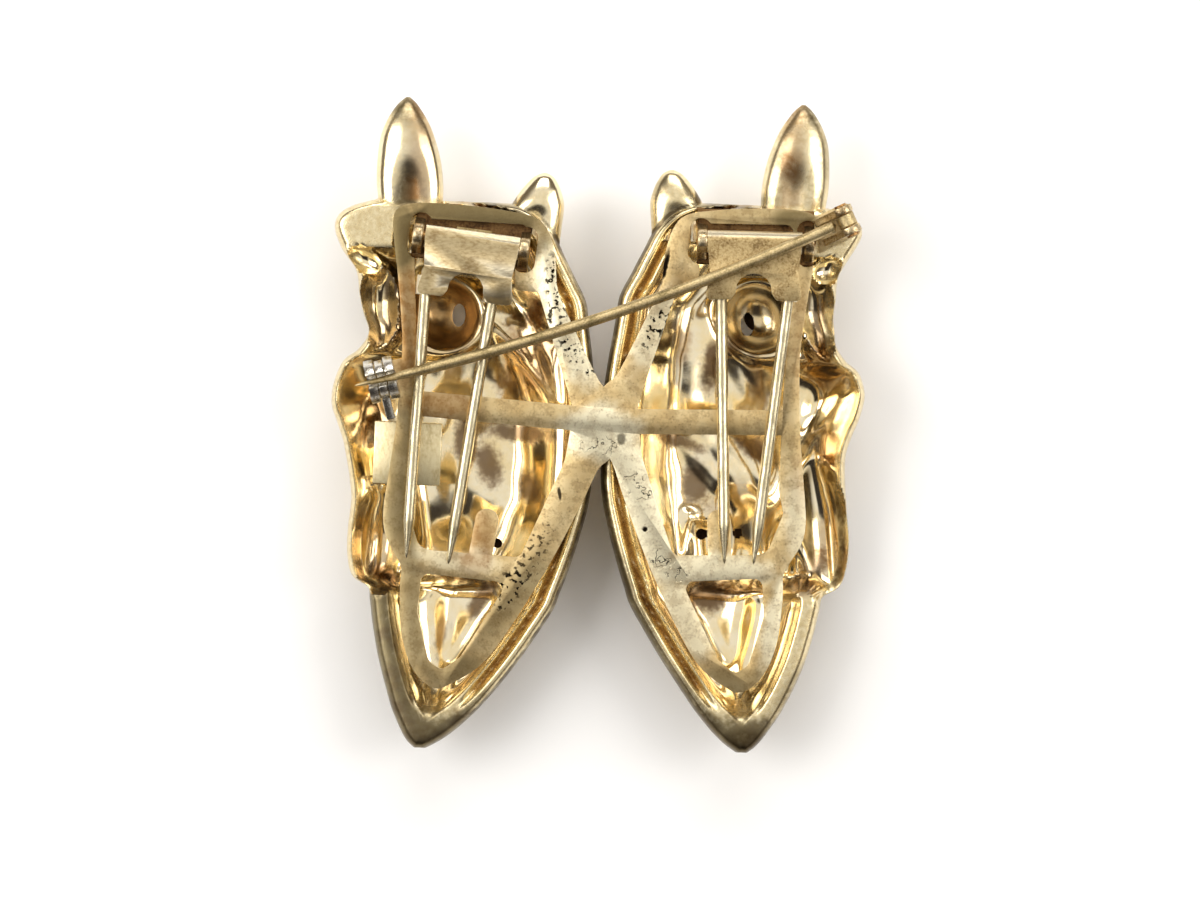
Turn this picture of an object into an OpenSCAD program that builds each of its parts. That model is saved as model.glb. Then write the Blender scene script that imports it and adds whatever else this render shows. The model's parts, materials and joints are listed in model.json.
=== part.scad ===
// Double clip brooch, lying face down: two hollow cast horse heads, each with a
// sprung two-pronged clip, carried on a flat pierced frame with a brooch pin.
// Units are millimetres. +Z is up, out of the brooch's back. +Y points to the ears.

/* [Heads] */
// Length of a head from its pointed tip to its top edge
head_len = 49.3; // [46:0.1:53]
// Length of the big ear above the head's top edge
ear_len = 9.3; // [7:0.1:11]
// How far the left big ear lies further out than the middle, and the right one further in
ear_lean = 0.5; // [0:0.05:0.8]
// Width of a head
head_w = 23.3; // [22:0.1:25]
// Half of the gap between the two heads
half_gap = 0.4; // [0.3:0.05:1]
// How far the left head lies below the middle, and the right head above it
head_shift = 0.37; // [0:0.01:0.6]
// Height of the back edges of the heads above the floor
rim_z = 8; // [7.5:0.1:9]
// Depth of the hollow below the back edges
hollow_depth = 5.3; // [4.5:0.1:5.8]
// Thickness of the cast wall
wall = 1.1; // [0.9:0.05:1.3]
// Height of the outer edge of a head
edge_h = 2.2; // [1.6:0.1:2.6]
// Thickness of the big ear
ear_t = 3.4; // [2.8:0.1:4]

/* [Frame] */
// Thickness of the frame's sheet
sheet_t = 0.9; // [0.7:0.05:1.1]
// Width of the bar across the lobes
bar_w = 2.25; // [1.8:0.05:2.6]
// How far the crossing of the lobes lies to the right of the middle
cross_shift = 0.8; // [0:0.05:1]
// Gap between the heads' back edges and the frame
frame_gap = 0.1; // [0.05:0.05:0.2]

/* [Clips] */
// Width of a lever plate
plate_w = 8.5; // [8:0.1:9]
// Length of a lever plate below its hinge
plate_len = 5.2; // [4.8:0.1:5.6]
// Thickness of a lever plate
plate_t = 0.55; // [0.45:0.05:0.7]
// Radius of the hinge rod
rod_r = 0.42; // [0.35:0.01:0.5]
// Height of the hinge rod's axis above the frame
rod_rise = 0.95; // [0.9:0.05:1.2]
// Thickness of a bracket ear
bracket_t = 0.9; // [0.7:0.05:1]
// Length of a bracket ear
bracket_len = 3.2; // [2.8:0.1:3.6]
// Diameter of a prong
prong_d = 1.05; // [0.8:0.05:1.15]
// Length of a prong from its foot to its tip
prong_len = 23.7; // [22.5:0.1:24.5]
// Length of a prong's taper
prong_taper = 3.6; // [3:0.1:5]
// Distance between the prongs at their feet
prong_gap = 6; // [5.6:0.1:6.2]

/* [Pin] */
// Diameter of the pin at its hinge
pin_d = 1.02; // [0.9:0.01:1.1]
// Length of the pin from its hinge straight to its point
pin_len = 46.4; // [44:0.1:47]
// Slant of the pin across the brooch
pin_slant = 20.9; // [19:0.1:23]
// How far the pin's arc bows from a straight line
pin_bow = 1.25; // [0.8:0.05:1.6]
// Height of the pin's axis above the frame
pin_rise = 3; // [2.9:0.05:3.4]
// Length of the pin's sharpened end
pin_taper = 7; // [5:0.1:9]
// Thickness of each ear of the pin joint
joint_t = 0.6; // [0.5:0.05:0.7]
// Length of each ear of the pin joint
joint_len = 3.5; // [3:0.1:4]
// Radius of the pin's rivet
rivet_r = 0.35; // [0.3:0.01:0.4]

/* [Catch] */
// Diameter of the catch's round cheeks
cheek_d = 3.9; // [3.5:0.1:4.2]
// Thickness of a cheek
cheek_t = 0.8; // [0.6:0.05:0.9]
// Thickness of the turning ring
ring_t = 0.76; // [0.6:0.01:0.9]
// Distance from the pin's point to the middle of the catch
catch_back = 2.5; // [2.2:0.1:3.2]
// Length of the ring's thumb tab past the cheeks
tab_len = 1.7; // [1.2:0.1:2.2]

/* [Clearances] */
// Radial clearance of a rod or rivet in its bore
run_gap = 0.04; // [0.02:0.01:0.08]
// Gap between faces that slide past each other
side_gap = 0.1; // [0.06:0.01:0.15]
// Gap around a bracket ear in the frame
notch_gap = 0.55; // [0.4:0.05:0.7]

/* [Hidden] */

// Heights
sheet_z = rim_z + frame_gap;
sheet_top = sheet_z + sheet_t;
rod_z = sheet_top + rod_rise;
pin_z = sheet_top + pin_rise;
curl_r = rod_r + run_gap + plate_t;
plate_z = rod_z + curl_r - plate_t;
prong_z = plate_z - side_gap - prong_d / 2;
head_low = -(head_len + ear_len) / 2;

// Smooth curve through a table: column 0 is the position along it, c the column read
function slope(t, i, c) =
    let(a = max(i - 1, 0), b = min(i + 1, len(t) - 1)) (t[b][c] - t[a][c]) / (t[b][0] - t[a][0]);
function at(t, s, c) =
    let(i = max([for (k = [0 : len(t) - 2]) if (t[k][0] <= s || k == 0) k]),
        d = t[i + 1][0] - t[i][0],
        u = min(max((s - t[i][0]) / d, 0), 1),
        a = t[i][c], b = t[i + 1][c], m = slope(t, i, c) * d, n = slope(t, i + 1, c) * d)
    a + u * (m + u * (3 * (b - a) - 2 * m - n + u * (2 * (a - b) + m + n)));

// Smooth closed outline through a ring of points, with steps pieces between two of them
function ring_curve(p, steps) = [
    for (i = [0 : len(p) - 1], k = [0 : steps - 1])
        let(n = len(p), u = k / steps, a = p[(i + n - 1) % n], b = p[i], c = p[(i + 1) % n],
            d = p[(i + 2) % n])
        b + u / 2 * ((c - a) + u * (2 * a - 5 * b + 4 * c - d + u * (3 * (b - c) + d - a)))];

// Outline with each corner [x, y, radius] rounded by an arc of five points
function rounded(p) = [
    for (i = [0 : len(p) - 1])
        let(n = len(p), b = [p[i][0], p[i][1]],
            a = [p[(i + n - 1) % n][0], p[(i + n - 1) % n][1]],
            c = [p[(i + 1) % n][0], p[(i + 1) % n][1]],
            e = (a - b) / norm(a - b), f = (c - b) / norm(c - b),
            half = acos(min(max(e * f, -1), 1)) / 2,
            m = b + (e + f) / norm(e + f) * p[i][2] / sin(half))
        for (k = [0 : 4])
            let(q = b + e * (p[i][2] / tan(half)), r = b + f * (p[i][2] / tan(half)),
                mid = q + (r - q) * k / 4)
            m + (mid - m) / norm(mid - m) * p[i][2]];

// Head outline: [share of the length from the tip, inner edge, outer edge as shares of the width]
HEAD_EDGE = [
    [0.000, 0.580, 0.622], [0.008, 0.551, 0.643], [0.020, 0.515, 0.664], [0.040, 0.468, 0.690],
    [0.079, 0.393, 0.733], [0.158, 0.270, 0.794], [0.225, 0.179, 0.828], [0.266, 0.129, 0.843],
    [0.290, 0.112, 0.856], [0.306, 0.100, 0.912], [0.339, 0.077, 0.938], [0.391, 0.045, 0.944],
    [0.462, 0.011, 0.931], [0.546, 0.000, 0.942], [0.586, 0.000, 0.967], [0.619, 0.000, 0.993],
    [0.657, 0.004, 1.000], [0.688, 0.011, 0.983], [0.705, 0.015, 0.962], [0.720, 0.019, 0.920],
    [0.749, 0.028, 0.880], [0.785, 0.039, 0.884], [0.826, 0.052, 0.894], [0.870, 0.097, 0.905],
    [0.913, 0.142, 0.958], [0.947, 0.176, 0.990], [0.968, 0.209, 0.984], [0.984, 0.248, 0.944],
    [0.994, 0.288, 0.886], [1.000, 0.335, 0.845]];

// How far the left head's outer edge lies further out, and the right head's further in:
// [share of the length from the tip, share of the width]
SIDE_SWAY = [
    [0.00, 0.028], [0.05, 0.012], [0.12, -0.006], [0.20, -0.014], [0.33, -0.019], [0.44, -0.019],
    [0.49, -0.006], [0.55, 0.010], [0.62, 0.012], [0.67, 0], [0.76, 0], [0.80, 0.022],
    [0.86, 0.030], [0.90, 0.042], [0.93, 0.038], [0.96, 0.028], [1.00, 0.015]];

// Big ear: [share of its length, middle and half width as shares of the head's width, thickness share]
BIG_EAR = [
    [0.00, 0.712, 0.120, 0.80], [0.17, 0.717, 0.124, 0.92], [0.34, 0.723, 0.128, 1.00],
    [0.52, 0.730, 0.121, 0.97], [0.68, 0.738, 0.105, 0.89], [0.80, 0.741, 0.083, 0.77],
    [0.90, 0.743, 0.054, 0.58], [0.96, 0.743, 0.031, 0.38], [1.00, 0.743, 0.008, 0.12]];
SMALL_EAR = [
    [0.00, 0.268, 0.108, 0.90], [0.22, 0.263, 0.108, 1.00], [0.45, 0.255, 0.106, 0.98],
    [0.57, 0.247, 0.098, 0.94], [0.69, 0.241, 0.084, 0.86], [0.81, 0.235, 0.066, 0.73],
    [0.93, 0.230, 0.041, 0.50], [0.98, 0.228, 0.021, 0.28], [1.00, 0.228, 0.006, 0.10]];

// Bands along the edges: [distance from the edge, depth added to the hollow's]
INNER_BANDS = [
    [0.0, 0.7], [0.5, 0.0], [1.0, 0.2], [1.35, 1.0], [1.9, 0.3], [2.5, 1.1], [3.3, 0.4], [4.2, 0]];
TIP_BANDS = [[0.0, 0.3], [0.5, 0.0], [1.8, 0.0], [2.3, 0.5], [2.8, 1.0], [3.6, 0.4], [4.6, 0]];
OUTER_BANDS = [[0.0, 0.4], [0.4, 0.0], [0.9, 0.3], [1.6, 0.3], [2.6, 0]];

// Relief of the hollow: [across, along, half width, half length, turn, lift in hollow depths]
RELIEF = [
    [0.600, 0.795, 0.135, 0.066,   0, -1.15],
    [0.600, 0.795, 0.190, 0.092,   0,  0.55],
    [0.862, 0.888, 0.055, 0.026,   0, -0.30],
    [0.905, 0.955, 0.125, 0.052,   0,  0.92],
    [0.785, 0.805, 0.045, 0.080,   8, -0.42],
    [0.860, 0.790, 0.030, 0.070,   8,  0.30],
    [0.300, 0.740, 0.045, 0.120, -28,  0.34],
    [0.410, 0.690, 0.040, 0.110, -28,  0.28],
    [0.200, 0.680, 0.035, 0.090, -24, -0.16],
    [0.880, 0.630, 0.070, 0.060,   0, -0.38],
    [0.700, 0.600, 0.070, 0.090,  15,  0.40],
    [0.840, 0.370, 0.075, 0.080,   0, -0.46],
    [0.740, 0.440, 0.040, 0.120,  -6,  0.40],
    [0.500, 0.520, 0.050, 0.130, -20,  0.26],
    [0.340, 0.450, 0.045, 0.120, -14,  0.22],
    [0.560, 0.360, 0.110, 0.070,  10, -0.80],
    [0.420, 0.300, 0.040, 0.080, -24,  0.24],
    [0.620, 0.260, 0.050, 0.070,  12,  0.20]];

// Frame lobe: outline points as shares of the head's width and length
LOBE = [
    [-0.040, 0.648], [0.020, 0.684], [0.115, 0.775], [0.180, 0.844], [0.194, 0.903], [0.222, 0.949],
    [0.275, 0.976], [0.395, 0.987], [0.540, 0.993], [0.700, 0.994], [0.785, 0.984], [0.806, 0.952],
    [0.781, 0.868], [0.760, 0.787], [0.750, 0.716], [0.762, 0.594], [0.782, 0.503], [0.798, 0.432],
    [0.785, 0.385], [0.724, 0.333], [0.721, 0.300], [0.720, 0.270], [0.704, 0.199], [0.657, 0.142],
    [0.575, 0.110], [0.502, 0.122], [0.408, 0.154], [0.322, 0.211], [0.180, 0.335], [0.068, 0.452],
    [0.010, 0.520], [-0.040, 0.552]];

// Windows of a lobe: corners as shares of the head's width and length, and their radii
WINDOW = [
    [0.300, 0.962, 0.6], [0.700, 0.966, 0.8], [0.722, 0.930, 0.6], [0.694, 0.720, 3],
    [0.690, 0.480, 3], [0.712, 0.440, 1], [0.655, 0.366, 1.2], [0.600, 0.361, 0.6],
    [0.278, 0.355, 0.7], [0.130, 0.535, 3], [0.105, 0.625, 1.5], [0.250, 0.840, 0.4],
    [0.335, 0.842, 0.4], [0.340, 0.892, 0.4], [0.285, 0.900, 0.5]];
TIP_WINDOW = [
    [0.318, 0.308, 0.7], [0.640, 0.319, 0.7], [0.652, 0.250, 2], [0.600, 0.158, 1.2],
    [0.548, 0.144, 0.6], [0.480, 0.168, 1.5]];

// Clips: [hinge across and along as shares, turn, offset of the prongs' feet, of their tips, tip gap]
LEFT_CLIP = [0.496, 0.925, -5.5, -0.45, 0, 3.8];
RIGHT_CLIP = [0.556, 0.931, 1, 0, -0.85, 2.6];

// Holes in the heads: [across, along, radius]
LEFT_HOLES = [[0.528, 0.795, 0.75], [0.355, 0.377, 0.45]];
RIGHT_HOLES = [[0.552, 0.785, 0.75], [0.400, 0.394, 0.5], [0.542, 0.398, 0.4]];

// Grid of the cast wall: rows along the head and cells across it
rows = 52;
cells = 29;

function across(s) = half_gap + s * head_w;
function along(s) = head_low + s * head_len;
function row_share(i) = let(u = i / rows) u - 0.012 * sin(360 * u);
function cell_share(j) = let(u = j / cells) 0.6 * u + 0.4 * (1 - cos(180 * u)) / 2;

// Pin: its arc runs from the hinge to the point on a circle in a level plane
hinge = [across(0.903), along(0.983)];
half_sweep = 2 * atan(2 * pin_bow / pin_len);
pin_radius = pin_len / (2 * sin(half_sweep));
arc_len = pin_radius * half_sweep * PI / 90;
// Direction of the pin at a distance from its hinge, and the point of its axis there
function pin_turn(d) = 180 + pin_slant + half_sweep - d / pin_radius * 180 / PI;
pin_centre = hinge + pin_radius * [sin(pin_turn(0)), -cos(pin_turn(0))];
function pin_at(d) = pin_centre + pin_radius * [-sin(pin_turn(d)), cos(pin_turn(d))];
hinge_turn = pin_turn(0);
eye_w = pin_d + 0.1;
joint_gap = eye_w + 2 * side_gap;
catch = pin_at(arc_len - catch_back);
catch_turn = pin_turn(arc_len - catch_back);
cheek_gap = ring_t + 2 * side_gap;
ear_x = plate_w / 2 + side_gap + bracket_t / 2;
// Distance from the hinge rod to the bar between the prongs
prong_start = curl_r + prong_d + 0.6;

// Cosine of an edge's slant, so that a distance across is measured square to it
function lean(s, c) =
    let(a = max(s - 0.01, 0), b = min(s + 0.01, 1))
    cos(atan((at(HEAD_EDGE, b, c) - at(HEAD_EDGE, a, c)) * head_w / ((b - a) * head_len)));

function bump(w, s, r) =
    let(x = (w - r[0]) * head_w, y = (s - r[1]) * head_len,
        u = (x * cos(r[4]) + y * sin(r[4])) / (r[2] * head_w),
        v = (y * cos(r[4]) - x * sin(r[4])) / (r[3] * head_len))
    r[5] * exp(-(u * u + v * v));
function relief(w, s, k = 0) = k == len(RELIEF) ? 0 : bump(w, s, RELIEF[k]) + relief(w, s, k + 1);
function bowl(e, reach) = sin(90 * min(max(e / reach, 0), 1));

// Distances from the edges: inner, outer and top
function edges(w, s) = [
    max(w - at(HEAD_EDGE, s, 1), 0) * head_w * lean(s, 1),
    max(at(HEAD_EDGE, s, 2) - w, 0) * head_w * lean(s, 2), (1 - s) * head_len];

// Height of the back surface at a share across the width and along the length
function back_z(w, s) =
    let(e = edges(w, s), low = min(max((0.31 - s) / 0.03, 0), 1),
        hollow = hollow_depth * bowl(e[0] - 2.2, 5.5) * bowl(e[1] - 0.5 - 1.7 * low, 4.5)
                 * bowl(e[2] - 1.2, 4) * (1 - relief(w, s)),
        bands = (at(INNER_BANDS, e[0], 1) + low * at(TIP_BANDS, e[1], 1)
                 + (1 - low) * at(OUTER_BANDS, e[1], 1)) * min(max(12 * s, 0.15), 1))
    max(rim_z - max(hollow, 0) - bands, wall);
function front_z(w, s) =
    let(e = edges(w, s), m = min(e))
    max(back_z(w, s) - wall - (edge_h - wall) * exp(-pow(m / 1.3, 2)), 0);

// Closed wall between two grids of points, the back above and the front below
module cast_wall(side) {
    grid = [for (i = [0 : rows])
            let(s = row_share(i), a = at(HEAD_EDGE, s, 1), b = at(HEAD_EDGE, s, 2))
            [for (j = [0 : cells]) let(w = a + (b - a) * cell_share(j))
             [across(w) - side * at(SIDE_SWAY, s, 1) * w * head_w, along(s), back_z(w, s),
              front_z(w, s)]]];
    n = (rows + 1) * (cells + 1);
    function id(i, j) = i * (cells + 1) + j;
    points = concat([for (r = grid) for (p = r) [p[0], p[1], p[2]]],
                    [for (r = grid) for (p = r) [p[0], p[1], p[3]]]);
    skin = [for (i = [0 : rows - 1], j = [0 : cells - 1])
            each [[id(i, j), id(i + 1, j), id(i + 1, j + 1)],
                  [id(i, j), id(i + 1, j + 1), id(i, j + 1)]]];
    under = [for (f = skin) [f[2] + n, f[1] + n, f[0] + n]];
    rim = concat([for (j = [0 : cells]) id(0, j)], [for (i = [1 : rows]) id(i, cells)],
                 [for (j = [1 : cells]) id(rows, cells - j)],
                 [for (i = [1 : rows - 1]) id(rows - i, 0)]);
    sides = [for (k = [0 : len(rim) - 1]) let(a = rim[k], b = rim[(k + 1) % len(rim)])
             each [[a, b, b + n], [a, b + n, a + n]]];
    polyhedron(points, concat(skin, under, sides));
}

// Solid ear: a stack of ovals through a table, from y0 up over length l
module ear(t, y0, l, thick) {
    sides = 16;
    steps = 14;
    mid_z = rim_z - thick / 2;
    rings = [for (i = [0 : steps])
             let(s = sin(90 * i / steps), m = at(t, s, 1), h = at(t, s, 2), k = at(t, s, 3))
             [for (a = [0 : sides - 1]) let(turn = a * 360 / sides)
              [across(m) + h * head_w * cos(turn), y0 + s * l, mid_z + thick / 2 * k * sin(turn)]]];
    points = [for (r = rings) each r];
    walls = [for (i = [0 : steps - 1], a = [0 : sides - 1])
             let(b = (a + 1) % sides, p = i * sides, q = p + sides)
             each [[p + a, p + b, q + b], [p + a, q + b, q + a]]];
    base = [for (a = [1 : sides - 2]) [0, a + 1, a]];
    cap = [for (a = [1 : sides - 2]) let(q = steps * sides) [q, q + a, q + a + 1]];
    polyhedron(points, concat(walls, base, cap));
}

// Puts a clip's pieces at its hinge
module at_clip(c, side) {
    translate([side * across(c[0]), along(c[1]) + side * head_shift, 0]) rotate([0, 0, c[2]])
        children();
}

// Bracket soldered to a head: a base under the frame and two drilled ears
module bracket() {
    base_t = wall;
    base_l = bracket_len + 1.8;
    top_r = bracket_len / 2 - 0.5;
    translate([-ear_x - bracket_t / 2, -bracket_len / 2 - 0.4, rim_z - base_t])
        cube([2 * ear_x + bracket_t, base_l, base_t]);
    for (k = [-1, 1]) translate([k * ear_x - bracket_t / 2, 0, 0]) {
        translate([0, -bracket_len / 2, rim_z - base_t])
            cube([bracket_t, bracket_len, rod_z - rim_z + base_t]);
        translate([0, 0, rod_z]) rotate([0, 90, 0]) cylinder(r = top_r, h = bracket_t, $fn = 48);
    }
}

module head(c, side) {
    difference() {
        union() {
            translate([0, side * head_shift, 0]) mirror([side < 0 ? 1 : 0, 0, 0]) {
                cast_wall(side);
                translate([-side * ear_lean, 0, 0])
                    ear(BIG_EAR, along(0.955), ear_len + head_len * 0.045, ear_t);
                ear(SMALL_EAR, along(0.93), head_len * 0.13, ear_t * 0.9);
            }
            at_clip(c, side) bracket();
        }
        at_clip(c, side) translate([-plate_w, 0, rod_z]) rotate([0, 90, 0])
            cylinder(r = rod_r + run_gap, h = 2 * plate_w, $fn = 48);
    }
}

module left_head() {
    color([0.82, 0.68, 0.38]) difference() {
        union() {
            head(LEFT_CLIP, -1);
            tag_plate();
        }
        holes(-1, LEFT_HOLES);
    }
}

module right_head() {
    color([0.82, 0.68, 0.38]) difference() {
        head(RIGHT_CLIP, 1);
        holes(1, RIGHT_HOLES);
    }
}

// Small bare plate soldered inside the left head, on a foot that reaches the cast wall
module tag_plate() {
    size = [0.26 * head_w, 0.115 * head_len, 0.6];
    foot = rim_z - 0.5 - back_z(0.71, 0.536) + wall / 2;
    translate([-across(0.71), along(0.536) - head_shift, rim_z - 0.5]) {
        translate([-size[0] / 2, -size[1] / 2, -size[2]]) cube(size);
        translate([-size[0] / 3, -size[1] / 3, -foot]) cube([size[0] / 2, size[1] / 2, foot - size[2] / 2]);
    }
}

// Peg and eye holes: [across, along, radius], drilled right through the wall
module holes(side, table) {
    for (h = table)
        translate([side * across(h[0]), along(h[1]) + side * head_shift, -1])
            cylinder(r = h[2], h = rim_z, $fn = 24);
}

// Shape of a lobe drawn on one side, skewed so that both meet at the crossing
function placed(p, side) =
    let(x = side * across(p[0]), skew = max(1 - abs(x) / (head_w / 2), 0))
    [x + cross_shift * skew, along(p[1]) + side * head_shift];

module lobe(side) {
    polygon(ring_curve([for (p = LOBE) placed(p, side)], 4));
}

module lobe_windows(side) {
    for (t = [WINDOW, TIP_WINDOW])
        polygon(rounded([for (p = t) concat(placed(p, side), [p[2]])]));
}

// Room in the frame around the two ears of a clip's bracket
module notches(c, side) {
    at_clip(c, side) for (k = [-1, 1])
        translate([k * ear_x, 0]) square([bracket_t + 2 * notch_gap, bracket_len - 1], center = true);
    at_clip(c, side) for (k = [-1, 1], m = [-1, 1])
        translate([k * ear_x, m * (bracket_len - 1) / 2])
            circle(d = bracket_t + 2 * notch_gap, $fn = 32);
}

// Rounded finger that stands up from a lobe's cross bar beside the inner prong
module finger(side, s) {
    w = 0.09 * head_w;
    translate([side * across(s), along(0.35) + side * head_shift]) rotate([0, 0, side < 0 ? -8 : 4]) {
        translate([-w / 2, 0]) square([w, 0.092 * head_len - w / 2]);
        translate([0, 0.092 * head_len - w / 2]) circle(d = w, $fn = 32);
    }
}

// Bar across both lobes, from outer bar to outer bar
module name_bar() {
    y = [along(0.622), along(0.602), along(0.613)];
    x = [-across(0.73), cross_shift, across(0.735)];
    polygon(concat([for (i = [0 : 2]) [x[i], y[i] - bar_w / 2]],
                   [for (i = [2 : -1 : 0]) [x[i], y[i] + bar_w / 2]]));
}

module frame_sheet() {
    difference() {
        union() {
            for (side = [-1, 1]) lobe(side);
            translate([cross_shift, along(0.605)]) square([2.6, 0.11 * head_len], center = true);
            hinge_arm();
            catch_arm();
        }
        difference() {
            for (side = [-1, 1]) lobe_windows(side);
            name_bar();
            finger(-1, 0.418);
            finger(1, 0.474);
        }
        notches(LEFT_CLIP, -1);
        notches(RIGHT_CLIP, 1);
    }
}

// Arm of the sheet under the pin joint's ears, and the arm under the catch
module hinge_arm() {
    w = joint_gap + 2 * joint_t + 0.6;
    translate(hinge) rotate([0, 0, hinge_turn])
        polygon(rounded([[-1, -w / 2, 0.5], [joint_len + 0.8, -w / 2, 0.5],
                         [joint_len + 0.8, w / 2, 0.5], [-1, w / 2, 0.5]]));
}

module catch_arm() {
    w = cheek_d * 0.8;
    reach = (across(0.735) + catch[0]) / cos(catch_turn);
    translate(catch) rotate([0, 0, catch_turn])
        polygon(rounded([[-reach, -w / 2, 0.1], [cheek_gap / 2 + cheek_t, -w / 2, 0.4],
                         [cheek_gap / 2 + cheek_t, w / 2, 0.4], [-reach, w / 2, 0.1]]));
}

// One drilled ear of the pin joint, drawn from the side and stood up
module joint_ear() {
    rise = pin_rise + sheet_t / 2;
    r = 0.95;
    rotate([90, 0, 0]) linear_extrude(joint_t, center = true) difference() {
        union() {
            circle(r = r, $fn = 48);
            polygon([[-r, 0], [-r, -rise], [joint_len - r, -rise], [joint_len - r, 0.2 - rise / 2],
                     [0.5 * r, 0.86 * r]]);
        }
        circle(r = rivet_r + run_gap, $fn = 48);
    }
}

// One round cheek of the catch on its post, with a mouth for the pin on top
module cheek() {
    bore = 0.6;
    difference() {
        union() {
            rotate([0, 90, 0]) cylinder(d = cheek_d, h = cheek_t, center = true, $fn = 64);
            translate([0, 0, -(pin_rise + sheet_t / 2) / 2 - 0.5])
                cube([cheek_t, cheek_d * 0.62, pin_rise + sheet_t / 2 - 1], center = true);
        }
        rotate([0, 90, 0]) cylinder(r = bore, h = 2 * cheek_t, center = true, $fn = 48);
        translate([0, 0, cheek_d / 2]) cube([2 * cheek_t, 2 * bore, cheek_d], center = true);
    }
}

module frame() {
    color([0.76, 0.63, 0.42]) {
        translate([0, 0, sheet_z]) linear_extrude(sheet_t) frame_sheet();
        translate([hinge[0], hinge[1], pin_z]) rotate([0, 0, hinge_turn]) for (k = [-1, 1])
            translate([0, k * (joint_gap + joint_t) / 2, 0]) joint_ear();
        translate([catch[0], catch[1], pin_z]) rotate([0, 0, catch_turn]) for (k = [-1, 1])
            translate([k * (cheek_gap + cheek_t) / 2, 0, 0]) cheek();
    }
}

// Lever plate: curled round its rod at the top, with an arch between two feet that hold the prongs
module lever(c) {
    arch_x = 1.6;
    arch_y = -plate_len * 0.55;
    hold_r = prong_d / 2 + run_gap + 0.4;
    half = [
        [arch_x, arch_y, 1.45], [arch_x, -plate_len * 0.88, 0.8], [arch_x + 0.45, -plate_len, 0.4],
        [plate_w / 2 + 0.1, -plate_len, 0.4], [plate_w / 2 - 0.3, -plate_len * 0.55, 2],
        [plate_w / 2, 0, 0.05]];
    outline = concat(half, [for (i = [len(half) - 1 : -1 : 0]) [-half[i][0], half[i][1], half[i][2]]]);
    difference() {
        union() {
            translate([0, 0, rod_z]) rotate([0, 90, 0])
                cylinder(r = curl_r, h = plate_w, center = true, $fn = 64);
            translate([0, 0, plate_z]) linear_extrude(plate_t) polygon(rounded(outline));
            for (k = [-1, 1]) prong_line(c, k) translate([0, 0, plate_len - 1.7 - prong_start])
                cylinder(r = hold_r, h = 1.7, $fn = 48);
        }
        translate([0, 0, rod_z]) rotate([0, 90, 0])
            cylinder(r = rod_r + run_gap, h = 2 * plate_w, center = true, $fn = 48);
        for (k = [-1, 1]) prong_line(c, k) translate([0, 0, -0.5])
            cylinder(r = prong_d / 2 + run_gap, h = 2 * plate_len, $fn = 48);
        translate([-plate_w, -2 * plate_w, prong_z - prong_d]) cube([2 * plate_w, 2 * plate_w - 1.2,
            prong_d * 0.55]);
    }
}

// Puts a prong's children on its axis, with +Z from under the plate to its tip
module prong_line(c, k) {
    foot = [c[3] + k * prong_gap / 2, -plate_len];
    tip = [c[4] + k * c[5] / 2, -plate_len - prong_len];
    d = (tip - foot) / norm(tip - foot);
    start = foot - d * (plate_len - prong_start);
    translate([start[0], start[1], prong_z]) rotate([0, 0, atan2(d[1], d[0])]) rotate([0, 90, 0])
        children();
}

module prongs(c) {
    straight = plate_len - prong_start + prong_len - prong_taper;
    for (k = [-1, 1]) prong_line(c, k) {
        cylinder(d = prong_d, h = straight, $fn = 48);
        translate([0, 0, straight]) cylinder(d1 = prong_d, d2 = 0.2, h = prong_taper, $fn = 48);
        sphere(d = prong_d, $fn = 48);
    }
    translate([c[3], -prong_start, prong_z]) rotate([0, 90, 0])
        cylinder(d = prong_d, h = prong_gap, center = true, $fn = 48);
}

module hinge_rod() {
    head_t = 0.15;
    l = 2 * ear_x + bracket_t;
    translate([0, 0, rod_z]) rotate([0, 90, 0]) cylinder(r = rod_r, h = l + 2 * head_t, center = true,
                                                           $fn = 48);
}

// Leaf spring: a foot on the bracket's base short of the window's edge, bent up against the
// plate behind the rod
module spring(c) {
    t = 0.22;
    w = 3.2;
    z = rim_z + side_gap / 2;
    foot = (WINDOW[0][1] - c[1]) * head_len - notch_gap;
    back = -curl_r - side_gap;
    top = plate_z - side_gap;
    profile = [[foot, z], [foot, z + t], [back, z + t], [back - 0.1, top], [back - 0.1 - t, top],
               [back - t, z]];
    translate([-w / 2, 0, 0]) rotate([90, 0, 90]) linear_extrude(w) polygon(profile);
}

module left_lever() {
    color([0.78, 0.72, 0.56]) at_clip(LEFT_CLIP, -1) lever(LEFT_CLIP);
}

module right_lever() {
    color([0.78, 0.72, 0.56]) at_clip(RIGHT_CLIP, 1) lever(RIGHT_CLIP);
}

module left_prongs() {
    color([0.82, 0.78, 0.66]) at_clip(LEFT_CLIP, -1) prongs(LEFT_CLIP);
}

module right_prongs() {
    color([0.82, 0.78, 0.66]) at_clip(RIGHT_CLIP, 1) prongs(RIGHT_CLIP);
}

module left_hinge_rod() {
    color([0.6, 0.52, 0.36]) at_clip(LEFT_CLIP, -1) hinge_rod();
}

module right_hinge_rod() {
    color([0.6, 0.52, 0.36]) at_clip(RIGHT_CLIP, 1) hinge_rod();
}

module left_spring() {
    color([0.7, 0.66, 0.55]) at_clip(LEFT_CLIP, -1) spring(LEFT_CLIP);
}

module right_spring() {
    color([0.7, 0.66, 0.55]) at_clip(RIGHT_CLIP, 1) spring(RIGHT_CLIP);
}

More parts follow.
